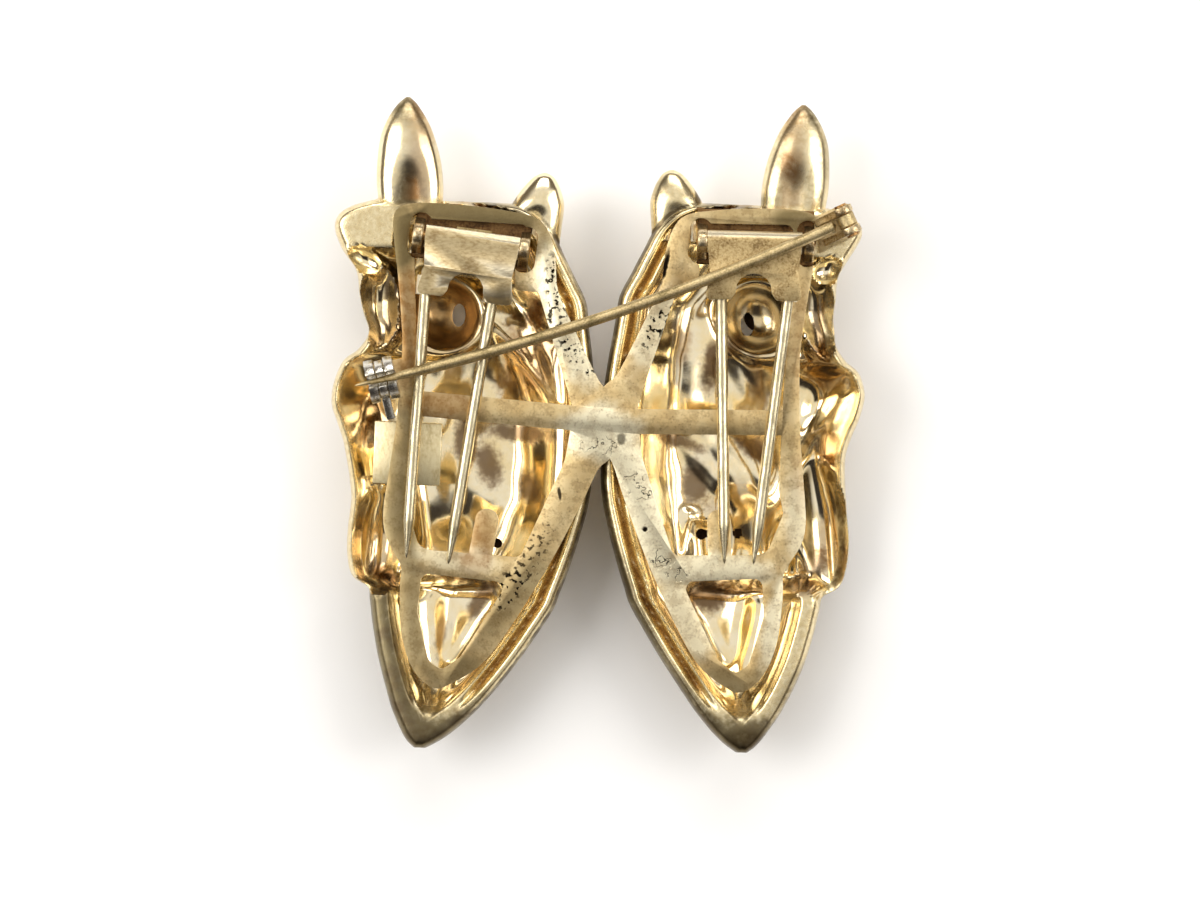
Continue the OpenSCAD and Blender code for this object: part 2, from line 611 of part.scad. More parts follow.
// Brooch pin: a drilled eye, an arc of wire and a sharpened end
module pin_stem() {
    a0 = pin_turn(0);
    a1 = pin_turn(arc_len - pin_taper);
    start = pin_at(arc_len - pin_taper);
    lap = 0.3;
    eye_r = rivet_r + run_gap + 0.45;
    color([0.86, 0.8, 0.64]) difference() {
        union() {
            translate([pin_centre[0], pin_centre[1], pin_z]) rotate([0, 0, a1 + 90])
                rotate_extrude(angle = a0 - a1, $fn = 360) translate([pin_radius, 0])
                    circle(d = pin_d, $fn = 48);
            translate([start[0], start[1], pin_z]) rotate([0, 0, a1]) rotate([0, 90, 0])
                translate([0, 0, -lap])
                    cylinder(d1 = pin_d - 0.02, d2 = 0.16, h = pin_taper + lap, $fn = 48);
            translate([hinge[0], hinge[1], pin_z]) rotate([0, 0, a0]) rotate([90, 0, 0])
                cylinder(r = eye_r, h = eye_w, center = true, $fn = 48);
        }
        translate([hinge[0], hinge[1], pin_z]) rotate([0, 0, a0]) rotate([90, 0, 0])
            cylinder(r = rivet_r + run_gap, h = 2 * pin_d, center = true, $fn = 48);
    }
}

module pin_rivet() {
    head_t = 0.2;
    l = joint_gap + 2 * joint_t;
    color([0.62, 0.5, 0.34]) translate([hinge[0], hinge[1], pin_z]) rotate([0, 0, hinge_turn])
        rotate([90, 0, 0]) {
            cylinder(r = rivet_r, h = l + 2 * side_gap, center = true, $fn = 48);
            for (k = [-1, 1]) translate([0, 0, k * (l / 2 + side_gap / 2 + head_t / 2)])
                cylinder(r = rivet_r + 0.2, h = head_t, center = true, $fn = 48);
        }
}

// Turning ring of the catch: open on top, with a thumb tab that lies out to one side
module catch_ring() {
    r = cheek_d / 2 - 0.2;
    bore = 0.6;
    tab = [ring_t, tab_len + r, 0.6];
    color([0.8, 0.79, 0.74]) translate([catch[0], catch[1], pin_z]) rotate([0, 0, catch_turn])
        difference() {
            union() {
                rotate([0, 90, 0]) cylinder(r = r, h = ring_t, center = true, $fn = 64);
                rotate([-10, 0, 0]) translate([-tab[0] / 2, 0.2, -tab[2] / 2]) cube(tab);
            }
            rotate([0, 90, 0]) cylinder(r = bore, h = 2 * ring_t, center = true, $fn = 48);
            translate([0, 0, cheek_d / 2]) cube([2 * ring_t, 2 * bore, cheek_d], center = true);
        }
}

left_head();
right_head();
frame();
left_lever();
right_lever();
left_prongs();
right_prongs();
left_hinge_rod();
right_hinge_rod();
left_spring();
right_spring();
pin_stem();
pin_rivet();
catch_ring();
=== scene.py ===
# %% [markdown]
# # A double clip brooch, seen from the back
#
# The brooch is two dress clips on one frame. Each clip is a horse head cast hollow in silver
# and gilded, with a sprung lever that carries two prongs. The frame is one pierced sheet with
# the brooch pin across it. It lies face down, so what shows is the inside of the castings and
# all the small metal work that a jeweller soldered and riveted behind them.
#
# The measured model gives every piece its place. This script dresses it: it remakes the cast
# heads with finer relief, rounds the edges of the sheet work, and gives each metal its finish.

# %% Load the measured model
import json
import math

import bmesh
import bpy
import numpy as np
from mathutils import Matrix, Vector


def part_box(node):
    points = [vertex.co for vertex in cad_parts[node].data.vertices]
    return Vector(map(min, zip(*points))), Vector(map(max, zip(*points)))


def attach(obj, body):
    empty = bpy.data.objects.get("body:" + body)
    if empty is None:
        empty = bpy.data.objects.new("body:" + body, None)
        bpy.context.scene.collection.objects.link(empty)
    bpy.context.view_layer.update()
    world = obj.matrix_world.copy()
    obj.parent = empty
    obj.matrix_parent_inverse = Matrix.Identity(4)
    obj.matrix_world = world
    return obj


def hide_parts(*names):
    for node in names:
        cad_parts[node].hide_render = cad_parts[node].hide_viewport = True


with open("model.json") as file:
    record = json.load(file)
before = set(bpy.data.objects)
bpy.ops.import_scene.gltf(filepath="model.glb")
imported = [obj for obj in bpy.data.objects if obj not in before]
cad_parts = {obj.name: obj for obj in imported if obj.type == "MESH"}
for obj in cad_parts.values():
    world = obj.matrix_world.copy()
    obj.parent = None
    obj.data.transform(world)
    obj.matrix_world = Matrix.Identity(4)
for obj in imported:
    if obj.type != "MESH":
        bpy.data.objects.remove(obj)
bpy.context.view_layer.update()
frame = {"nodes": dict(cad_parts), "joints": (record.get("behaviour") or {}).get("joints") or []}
MM = 0.001
SIDES = ("left", "right")
SIGN = {"left": -1, "right": 1}


def linked(name, data):
    """A new object in the scene."""
    thing = bpy.data.objects.new(name, data)
    bpy.context.scene.collection.objects.link(thing)
    return thing


# %% [markdown]
# ## The photographer's view
#
# The picture was taken from straight above. A long lens far away keeps the heads from leaning
# outwards, which is how jewellery is usually photographed. The width that the picture covers
# was worked out from the size of such brooches, and the brooch lies turned by a little over
# two degrees.

# %% Camera
VIEW_WIDTH = 108 * MM
VIEW_CENTRE = Vector((0.255, -2.227, 8.5)) * MM
VIEW_TURN = math.radians(2.35)
LENS_DISTANCE = 0.5
SENSOR = 36.0


def place_camera():
    data = bpy.data.cameras.new("camera")
    data.sensor_width = SENSOR
    data.lens = SENSOR * LENS_DISTANCE / VIEW_WIDTH
    data.clip_start = 0.01
    camera = linked("camera", data)
    camera.location = VIEW_CENTRE + Vector((0, 0, LENS_DISTANCE))
    camera.rotation_euler = (0, 0, VIEW_TURN)
    bpy.context.scene.camera = camera
    print("lens of", round(data.lens, 1), "mm at", LENS_DISTANCE, "m")


place_camera()

# %% [markdown]
# ## Light
#
# Polished metal shows nothing but its surroundings. Large white windows to the left, the right
# and behind give the cream highlights in the bowls, and the pale ceiling gives the beige of the
# level places. The photographer leans in from below, as a dark shape with a soft outline, and
# that is the brown in every hollow that slopes down towards the tips.
#
# A lamp's power follows from how bright its face should look, so that a larger window isn't a
# brighter one. The room is worked out from the direction of view alone.

# %% Lights
DAYLIGHT = (1.0, 0.985, 0.96)


def window(name, place, size, brightness):
    data = bpy.data.lights.new(name, "AREA")
    data.shape = "RECTANGLE"
    data.size, data.size_y = size
    data.energy = 4 * brightness * size[0] * size[1]
    data.color = DAYLIGHT
    lamp = linked(name, data)
    lamp.location = Vector(place)
    lamp.rotation_euler = (-Vector(place)).to_track_quat("-Z", "Y").to_euler()


window("left_window", (-0.34, 0.06, 0.34), (0.30, 0.36), 3.3)
window("right_window", (0.36, 0.10, 0.30), (0.22, 0.34), 3.1)
window("far_window", (0.02, 0.38, 0.28), (0.42, 0.18), 3.0)
bpy.context.scene.view_settings.view_transform = "Standard"
print("windows:", len(bpy.data.lights))

# %% [markdown]
# ## Sums on sockets
#
# A finish is a sum of patterns: a colour here, a little tarnish there. Blender works such sums
# out with Math nodes, which are slow to read as a list of links. The class below wraps one
# output of a node, so that a sum can be written as plain Python. Any other node comes from its
# one method, which sets the node's settings first and then its sockets. The same class serves
# the shaders and the Geometry Nodes further down.

# %% A class for node outputs
class Tap:
    """One output of a node. Python sums on it add the Math nodes that work them out."""

    def __init__(self, socket):
        self.socket = socket

    @staticmethod
    def node(tree, kind, settings=(), inputs=(), out=0):
        node = tree.nodes.new(kind)
        for name, value in dict(settings).items():
            setattr(node, name, value)
        for key, value in dict(inputs).items():
            if isinstance(value, Tap):
                tree.links.new(value.socket, node.inputs[key])
            else:
                node.inputs[key].default_value = value
        return Tap(node.outputs[out]) if len(node.outputs) else None

    def math(self, operation, other=0.0, swapped=False):
        pair = (other, self) if swapped else (self, other)
        return Tap.node(self.socket.id_data, "ShaderNodeMath", {"operation": operation},
                        dict(enumerate(pair)))

    def __add__(self, other):
        return self.math("ADD", other)

    def __mul__(self, other):
        return self.math("MULTIPLY", other)

    def __sub__(self, other):
        return self.math("SUBTRACT", other)

    def __rsub__(self, other):
        return self.math("SUBTRACT", other, swapped=True)

    def __truediv__(self, other):
        return self.math("DIVIDE", other)

    def __pow__(self, other):
        return self.math("POWER", other)

    __radd__ = __add__
    __rmul__ = __mul__

    def least(self, other):
        return self.math("MINIMUM", other)

    def most(self, other):
        return self.math("MAXIMUM", other)

    def step(self, low, high, kind="SMOOTHSTEP"):
        """Rises from 0 at low to 1 at high, or falls where low is the larger."""
        return Tap.node(self.socket.id_data, "ShaderNodeMapRange", {"interpolation_type": kind},
                        {"Value": self, "From Min": low, "From Max": high})


print("operators ready:", [n for n in ("__add__", "__rsub__", "__pow__") if hasattr(Tap, n)])

# %% [markdown]
# ## Patterns laid on the metal
#
# Every pattern is read from the place of a point on the brooch, in metres, so it stays where it
# is when a pin swings. Cloudy noise gives tarnish and grain. An oval patch with a ragged edge
# says where on the brooch a stain or a field of pits lies.

# %% Pattern helpers
# a length in mm beyond anything on the brooch
FAR = 1000


def tint(red, green, blue):
    """A colour picked as it looks on a screen, from 0 to 255, turned into light."""
    light = [(v / 255 / 12.92) if v < 11 else ((v / 255 + 0.055) / 1.055) ** 2.4
             for v in (red, green, blue)]
    return (*light, 1.0)


def place(tree, middle=(0, 0, 0), turn=0.0, reach=(1, 1, 1)):
    """Where a point lies, from a middle in mm, turned, in units of reach mm."""
    here = Tap.node(tree, "ShaderNodeTexCoord", out="Object")
    return Tap.node(tree, "ShaderNodeMapping", {"vector_type": "TEXTURE"},
                    {"Vector": here, "Location": [v * MM for v in middle],
                     "Rotation": (0, 0, math.radians(turn)), "Scale": [v * MM for v in reach]})


def grain(tree, size, seed, detail=3.0, stretch=(1, 1, 1), turn=0.0):
    """Cloudy noise from 0 to 1 with clouds of about size mm, drawn out by stretch."""
    spot = place(tree, turn=turn, reach=[size * v for v in stretch])
    return Tap.node(tree, "ShaderNodeTexNoise", {"noise_dimensions": "4D"},
                    {"Vector": spot, "W": seed, "Scale": 1.0, "Detail": detail,
                     "Roughness": 0.55})


def laid(tree, table, ragged, soft=0.35):
    """All ovals of a table as one mask. Each has its strength and an edge that follows a noise."""
    wander = (ragged - 0.5) * 1.2
    total = None
    for x, y, reach_x, reach_y, turn, strength in table:
        spot = place(tree, (x, y, 0), turn, (reach_x, reach_y, FAR))
        far = Tap.node(tree, "ShaderNodeVectorMath", {"operation": "LENGTH"}, {0: spot},
                       out="Value")
        one = (far + wander).step(1 + soft, 1 - soft) * strength
        total = one if total is None else total.most(one)
    return total


def blend(share, first, second):
    """Mixes two colours by a field."""
    return Tap.node(share.socket.id_data, "ShaderNodeMix", {"data_type": "RGBA"},
                    {0: share, 6: first, 7: second}, out=2)


def layered(colour, coats):
    """Lays coats over a colour, one after another. Each coat is its share and its tone."""
    for share, tone in coats:
        colour = blend(share, colour, tone)
    return colour


def mask(tree, name):
    """A number that the mesh carries at each of its points."""
    return Tap.node(tree, "ShaderNodeAttribute", {"attribute_name": name}, out="Fac")


def edge_highlight_mask(tree):
    """0 on level faces, 1 on rounded edges and walls, where the finishes paint a highlight."""
    normal = Tap.node(tree, "ShaderNodeNewGeometry", out="Normal")
    up = Tap.node(tree, "ShaderNodeSeparateXYZ", {}, {"Vector": normal}, out="Z")
    return up.step(0.97, 0.80)


def start_finish(name):
    material = bpy.data.materials.new(name)
    material.use_nodes = True
    material.node_tree.nodes.clear()
    return material, material.node_tree


def end_finish(tree, colour, rough, height=None, depth=0.0, metallic=1.0):
    """The shader at the end of a finish. height is a field, depth its size in mm."""
    inputs = {"Base Color": colour, "Roughness": rough, "Metallic": metallic}
    if height is not None:
        inputs["Normal"] = Tap.node(tree, "ShaderNodeBump", {},
                                    {"Height": height, "Distance": depth * MM})
    shader = Tap.node(tree, "ShaderNodeBsdfPrincipled", {}, inputs)
    Tap.node(tree, "ShaderNodeOutputMaterial", {}, {"Surface": shader})


print("a champagne tone in light:", [round(v, 2) for v in tint(214, 186, 132)[:3]])

# %% [markdown]
# ## The room
#
# The ceiling is pale, the walls are darker, and the photographer is a dark sector from nearly
# overhead down to the lower edge of the table. A photographed room could stand behind the
# lamps, but in a sum of a few steps each dark and each light can be moved by itself, until its
# reflection lies in the right hollow.

# %% Room
WALLS = (0.14, 0.115, 0.09, 1)
CEILING = (0.84, 0.82, 0.79, 1)
DARK_CLOTHES = (0.035, 0.03, 0.028, 1)


def light_the_room():
    world = bpy.data.worlds.new("room")
    world.use_nodes = True
    tree = world.node_tree
    tree.nodes.clear()
    toward = Tap.node(tree, "ShaderNodeTexCoord", out="Generated")
    up, right, back = (Tap.node(tree, "ShaderNodeSeparateXYZ", {}, {"Vector": toward}, out=k)
                       for k in ("Z", "X", "Y"))
    side = Tap.node(tree, "ShaderNodeMath", {"operation": "ABSOLUTE"}, {0: right + 0.03})
    person = (side + back * 0.16).step(0.34, 0.22) * back.step(-0.12, -0.22) * up.step(0.1, 0.3)
    colour = layered(WALLS, [(up.step(0.45, 0.86), CEILING), (person, DARK_CLOTHES)])
    glow = Tap.node(tree, "ShaderNodeBackground", {}, {"Color": colour, "Strength": 1.0})
    Tap.node(tree, "ShaderNodeOutputWorld", {}, {"Surface": glow})
    bpy.context.scene.world = world
    print("room of", len(tree.nodes), "nodes")


light_the_room()

# %% [markdown]
# ## Finish of the castings
#
# The inside of each head is polished and gilded, and almost a mirror. The edges that touch
# clothes, the ears and the flat lug are brushed satin, and their gilding has gone grey-green
# and brown in places. The mask of that tarnish also paints shade below the rim and at the inner
# edge, and another mask paints shade in the groove between the bands. The masks that tell these
# apart are numbers on the mesh, worked out from the same distances that shape it, so satin and
# polish meet exactly at the edge of the hollow. Deep in the hollows the finish paints brown and
# nearly black ragged places: partly tarnish, partly painted reflections of the dark room and
# painted shade in the pockets. Handling has dulled the ears and the tips, and a dark strip is
# painted as shade under the frame's top bar. Three tables say where. They could be painted on a
# picture, but an oval is quicker to move and is as sharp at any distance.

# %% Stains, painted reflections and painted shade in the castings
# the second mask marks the groove where shade is painted; the fourth is tarnish with painted shade
HEAD_MASKS = ("satin", "crease_shade", "bowl", "tarnish_and_shade")

# each oval: its middle x and y, its reach in x and y, in mm, its turn in degrees, its strength
# dark ovals: painted dark reflections and painted shade in the polished hollows, partly tarnish
DARK_REFLECTIONS_AND_TARNISH = [
    (-9.7, -3.7, 1.1, 1.9, 10, 0.8), (-7, -1, 3, 0.8, -3, 0.8),
    (-6, -5.9, 0.9, 1.4, 20, 0.8), (-12.1, -2, 0.9, 2, 8, 0.8),
    (-6, 9.7, 0.9, 1.4, 20, 0.8), (-18.9, 9.1, 1.5, 2.6, 0, 0.6),
    (-9.8, -16, 0.65, 2.2, -32, 0.8), (-12, -14, 2, 0.7, -4, 0.8),
    (-13.5, -19.5, 0.4, 1.9, -5, 0.6), (-18.5, -14.6, 1.7, 0.9, -20, 0.8),
    (10.1, 6.1, 0.8, 2.5, -6, 0.9), (12.1, 7.7, 1, 1.1, 0, 0.8),
    (14, 5.3, 0.8, 2.2, 8, 0.5), (7.5, -1.2, 2.1, 0.6, -14, 0.8),
    (14.4, -1.6, 2.5, 0.8, -28, 0.8), (9.1, -5, 1.1, 1.8, 15, 0.75),
    (19.9, 9.9, 1, 2.2, 0, 0.7), (20.1, -11.6, 1.2, 1.2, 0, 0.6),
    (19.1, -13.9, 1.5, 1, 0, 0.8), (10.3, -15, 1.9, 1.5, 0, 0.9)]
# brown ovals: painted brown reflections and painted shade in the hollows, partly tarnish
BROWN_REFLECTIONS_AND_TARNISH = [
    (-6.7, 5.8, 3.2, 3.4, -20, 1), (-20.3, 0.4, 1.7, 2.2, 0, 1),
    (-19.6, -12.1, 1.5, 3, 0, 0.6), (-14.5, 8.3, 3.4, 3.2, 0, 0.6),
    (15.1, 4.7, 1.2, 2.4, 0, 0.4), (7.3, 8, 0.7, 2, 0, 0.8),
    (20.4, 5.9, 2, 2.2, 0, 1), (21, -1.1, 1.1, 1.9, 0, 1),
    (21.5, -9.1, 1.2, 2.4, 0, 0.7), (14, -14.1, 2, 0.8, 0, 0.9),
    (12, -6.3, 2.2, 1.6, 30, 0.5)]
# soiled ovals: wear on the ears and the tips, and a dark strip painted as shade under the frame's
# top bar
SOILED_AND_SHADED_PLACES = [
    (-18, 20.6, 1.2, 2.3, -5, 0.75), (-18.3, 27.6, 1.3, 1.3, 0, 0.4),
    (-15.5, 24.1, 0.7, 3, 10, 0.3), (-9.8, 19.2, 2.4, 0.55, -3, 0.9),
    (-17.6, -19, 0.95, 4, 14, 0.35), (-15.8, -25.4, 1.2, 3.4, 24, 0.35),
    (-14.3, -28.7, 1.8, 1.3, 0, 0.5), (-9.9, -25.6, 0.8, 2.6, -48, 0.5),
    (16.1, 24.1, 1.3, 1.2, -30, 0.7), (19.6, 25.3, 0.9, 2.6, 0, 0.5),
    (14.6, 20.8, 0.8, 0.8, 0, 0.6), (10.2, 20, 2.8, 0.55, 0, 0.9),
    (5.7, 18.5, 0.9, 1.1, 0, 0.6), (4.9, 21.4, 0.8, 1.2, 0, 0.5),
    (4.4, -15.6, 0.6, 4.5, 24, 0.6), (10.2, -24.8, 0.8, 3.5, 36, 0.6),
    (18.4, -23.4, 0.8, 3, -28, 0.6), (14.5, -27.9, 2, 1.2, 0, 0.9)]

print("ovals in the castings:", len(DARK_REFLECTIONS_AND_TARNISH) + len(BROWN_REFLECTIONS_AND_TARNISH) + len(SOILED_AND_SHADED_PLACES))

# %% [markdown]
# ## The gilding
#
# Gilding is a thin coat of gold, warm where it is polished, and paler and greyer where it is
# brushed. The shader mixes both kinds by the satin mask and lays brown, dark and olive coats
# over them, which are partly tarnish and partly painted reflections and painted shade, with tiny
# specks last. It is metal all over, so what tells satin from polish is the roughness and a bump
# of a few hundredths of a millimetre, and not a second shader.

# %% Cast and gilded silver
def make_cast_gilt():
    material, tree = start_finish("cast_gilt")
    satin, crease_shade, bowl, tarnish_and_shade = (mask(tree, name) for name in HEAD_MASKS)
    cloud = grain(tree, 2.2, 3.0, detail=5)
    fine = grain(tree, 0.45, 8.0, detail=4)
    ripple = grain(tree, 2.2, 9.0, detail=1)
    speck = grain(tree, 0.14, 5.0, detail=2).step(0.68, 0.74)
    brushed = grain(tree, 0.10, 2.0, stretch=(1, 9, 1), turn=-32)

    gold = blend(cloud.step(0.35, 0.7), tint(254, 241, 209), tint(251, 229, 178))
    champagne = blend(fine.step(0.3, 0.7), tint(248, 232, 190), tint(224, 202, 152))
    olive = blend(cloud.step(0.4, 0.65), tint(122, 110, 80), tint(76, 60, 42))
    bronze = blend(fine.step(0.3, 0.7), tint(182, 152, 102), tint(142, 112, 70))

    ragged = cloud * 1.5 + fine * 0.9 - 0.7
    polished = 1 - satin
    # painted brown and dark reflections and painted shade in the polished hollows, partly tarnish
    brown_reflection_and_tarnish = laid(tree, BROWN_REFLECTIONS_AND_TARNISH, ragged, 0.5) * polished
    dark_reflection_and_tarnish = laid(tree, DARK_REFLECTIONS_AND_TARNISH, ragged, 0.5) * polished
    # wear on the ears and the tips, with painted shade under the frame's top bar
    handled_and_shaded = laid(tree, SOILED_AND_SHADED_PLACES, ragged, 0.45)

    # tarnish, with painted shade below the rim and at the inner edge, and a painted dark
    # reflection at an ear's foot
    soiled_and_shaded = (tarnish_and_shade * (0.2 + cloud * 0.8 + fine * 0.6)
              + (cloud - 0.5) * 0.5 * satin).step(0.30, 0.75)
    colour = layered(blend(satin, gold, champagne), [
        (bowl * 0.85, bronze),
        ((brown_reflection_and_tarnish + dark_reflection_and_tarnish) * 0.7, tint(176, 130, 72)),
        (dark_reflection_and_tarnish * 0.85, tint(70, 42, 16)),
        (soiled_and_shaded * 0.88, olive),
        (handled_and_shaded * (0.35 + fine), tint(74, 60, 38)),
        # painted shade in the groove between the bands
        (crease_shade * 0.4, tint(150, 96, 44)),
        (speck * (0.25 + satin * 0.5), tint(84, 64, 36))])

    rough = 0.09 + satin * 0.15 + bowl * 0.14 + soiled_and_shaded * 0.12 + dark_reflection_and_tarnish * 0.1 + fine * 0.06
    height = (brushed * satin * 0.5 + fine * 0.25) * (1 - crease_shade * 0.8) + ripple * 1.2
    end_finish(tree, colour, rough, height, 0.020)
    return material


cast_gilt = make_cast_gilt()
print("finish ready:", cast_gilt.name, "with", len(cast_gilt.node_tree.nodes), "nodes")

# %% [markdown]
# ## Finish of the frame
#
# The frame is a matt, sandy champagne sheet. It has brown and coppery tints where the gilding
# is thin, a dark olive stain round the left clip, fields of small black pits on the inner bars,
# and a few hairline cracks. Each of these has its own oval on the brooch, and a noise inside
# that oval draws the pits or the stain.

# %% Places on the frame
SHEET_STAINS = [
    (-12.3, 18.4, 6.6, 1.7, -1, 1), (-18.3, 16.2, 1.7, 3.2, 0, 1),
    (-6.4, 17, 1.6, 1.6, 0, 0.6), (-16.4, -17.8, 1.6, 5.5, 6, 0.6),
    (-17.3, -6, 1.6, 6.5, 0, 0.75), (-12.4, -22.3, 3.6, 1.5, -8, 0.55),
    (-7, -15.4, 1.6, 4.4, -36, 0.45), (13.5, 19.3, 5, 1, 0, 0.4),
    (16.9, 18.9, 2.2, 1.3, -10, 0.9), (13.2, -22.2, 3, 1.2, 0, 0.4),
    (13.5, -0.6, 4.6, 1.6, 0, 0.3)]
PALE_PLACES = [
    (-3.4, 9.6, 2, 6.4, 22, 1), (4.9, 9, 1.6, 4.6, -22, 0.7),
    (0.4, -0.6, 3.4, 2.6, 0, 1), (4.6, -7.4, 2.4, 6.6, 20, 1),
    (10.5, -12.6, 6, 1.5, 0, 0.9), (-12, -12.4, 3.4, 1.2, -6, 0.6),
    (18.6, -8.5, 1.4, 4.6, 8, 0.7), (16.9, -17, 1.4, 5, -10, 0.9),
    (8.6, -17, 1.4, 4, 28, 0.7)]
COPPER_TINTS = [
    (-17.5, 8.4, 1.5, 5.6, 3, 1), (-14.2, 1.1, 3.4, 1.4, -3, 0.9),
    (-10.5, -11, 1.7, 2.8, -8, 0.8), (18.3, 8, 1.3, 5, 0, 0.4),
    (18.9, -3.6, 1.2, 3.4, 0, 0.4)]
PIT_FIELDS = [
    (-4.5, 12.4, 0.75, 2.5, 6, 1), (-4.3, 9.9, 0.9, 1.5, 10, 0.9),
    (-2.6, 6.6, 0.9, 1.8, 32, 1), (-0.9, 4.8, 0.45, 0.4, 0, 1),
    (4.8, 9, 0.8, 2.2, -24, 1), (6.1, 10.6, 0.6, 1.7, -20, 1),
    (-5.4, -11.9, 1.1, 3.2, -25, 0.8), (-7.6, -15.2, 1.2, 2.4, -36, 1)]
SPOTS = [
    (5.4, 14.4, 0.26, 1.5, -12, 1), (4.7, -2.4, 0.34, 0.42, 20, 1),
    (4.6, -9.2, 0.26, 0.22, 0, 1), (2.1, -1.2, 0.42, 0.5, 0, 0.7),
    (-3.2, -6.4, 0.16, 0.6, 10, 0.9)]
CRACKS = [
    (6.4, -11.5, 1.3, 0.9, 25, 1), (7.7, -13.1, 1, 0.6, 0, 1),
    (0.3, -1.9, 1.6, 0.8, 0, 0.8), (3.4, -4.6, 1, 0.6, 0, 0.9),
    (4.2, -5.9, 1.1, 0.7, 10, 1)]

print("ovals on the sheet:", sum(map(len, (SHEET_STAINS, PALE_PLACES, COPPER_TINTS, PIT_FIELDS,
                                           SPOTS, CRACKS))))

# %% [markdown]
# ## The coats on the sheet
#
# A sheet that was cleaned in acid and brushed has a matt surface with a sandy mottle. The colour
# goes on in coats, as on a painted prop: two shades of champagne, then the pale places, the
# sand, the copper, the stains, the bright edges, which are worn and carry a painted highlight,
# and last the black pits. Each coat covers what lies below it by its own mask. A ready-made
# picture of tarnish would be quicker, but it wouldn't lie where the stains of this brooch lie.

# %% Frame sheet
def make_sheet_gilt():
    material, tree = start_finish("sheet_gilt")
    cloud = grain(tree, 2.6, 11.0, detail=5)
    sand = grain(tree, 0.22, 12.0, detail=3)
    mottle = grain(tree, 1.0, 15.0, detail=4)
    blot = grain(tree, 0.50, 13.0, detail=4)
    scratch = grain(tree, 0.1, 14.0, stretch=(1, 9, 1), turn=35)

    stains = laid(tree, SHEET_STAINS, cloud)
    copper = laid(tree, COPPER_TINTS, cloud)
    pits = laid(tree, PIT_FIELDS, cloud) * blot.step(0.545, 0.575)
    pits = pits.most(laid(tree, SPOTS, blot))
    lines = grain(tree, 1.5, 16.0, detail=3) - 0.5
    lines = lines.most(0 - lines)
    cracks = laid(tree, CRACKS, cloud) * lines.step(0.014, 0.005)
    dark = pits.most(cracks)

    pale = laid(tree, PALE_PLACES, cloud)
    sandy = (sand * 0.35 + mottle * 0.65).step(0.45, 0.58)
    # a painted highlight on the rounded edges, which are also worn
    edge = edge_highlight_mask(tree)
    colour = layered(blend(cloud.step(0.3, 0.7), tint(222, 200, 152), tint(204, 176, 124)), [
        (pale * 0.95, tint(247, 238, 206)),
        (sandy * (0.5 - pale * 0.2), tint(158, 130, 86)),
        (sand.step(0.58, 0.70) * mottle.step(0.45, 0.6) * 0.6, tint(96, 76, 48)),
        (copper * (0.25 + mottle * 1.1) * 0.8, tint(142, 96, 46)),
        ((stains * (0.7 + cloud * 0.6)).least(0.92), tint(112, 98, 66)),
        (edge * 0.85, tint(250, 238, 206)),
        (dark, tint(26, 20, 14))])

    rough = 0.36 + sand * 0.10 + stains * 0.06 + dark * 0.3 - edge * 0.16
    height = sand * 0.7 + scratch * 0.5 - dark * 2.5
    end_finish(tree, colour, rough, height, 0.02)
    return material


sheet_gilt = make_sheet_gilt()
print("finish ready:", sheet_gilt.name, "with", len(sheet_gilt.node_tree.nodes), "nodes")

# %% [markdown]
# ## Finishes of the small parts
#
# The lever plates are brushed a little silvery, the prongs and the brooch pin are drawn wire,
# and the safety catch is nickel silver that has kept its shine on the edges. They are the same
# kind of sum each time, so one function makes them from two tones, a dirt tone and a grain,
# with a painted highlight on the rounded edges of the plates and the tag.

# %% Plates, wires and the catch
def make_satin(name, light, dark, dirt, rough, seed, grain_size=0.2, stretch=(1, 1, 1),
               dirty=0.4, depth=0.015, edge_highlight=0.0):
    material, tree = start_finish(name)
    light, dark, dirt = tint(*light), tint(*dark), tint(*dirt)
    cloud = grain(tree, 1.8, seed, detail=5)
    fine = grain(tree, grain_size, seed + 1, detail=3, stretch=stretch)
    speck = grain(tree, 0.2, seed + 2, detail=3).step(0.6, 0.72)
    worn = (cloud + (fine - 0.5) * 0.4).step(0.48, 0.75)
    # a painted highlight on the rounded edges
    edge = edge_highlight_mask(tree) * edge_highlight
    colour = layered(blend((fine * 0.6 + cloud * 0.4).step(0.35, 0.65), light, dark), [
        (worn * dirty, dirt), (speck * dirty * 0.8, dirt), (edge * 0.6, tint(250, 242, 216))])
    end_finish(tree, colour, rough + fine * 0.12 + worn * 0.08 - edge * 0.15,
               fine + speck * 0.3, depth)
    return material


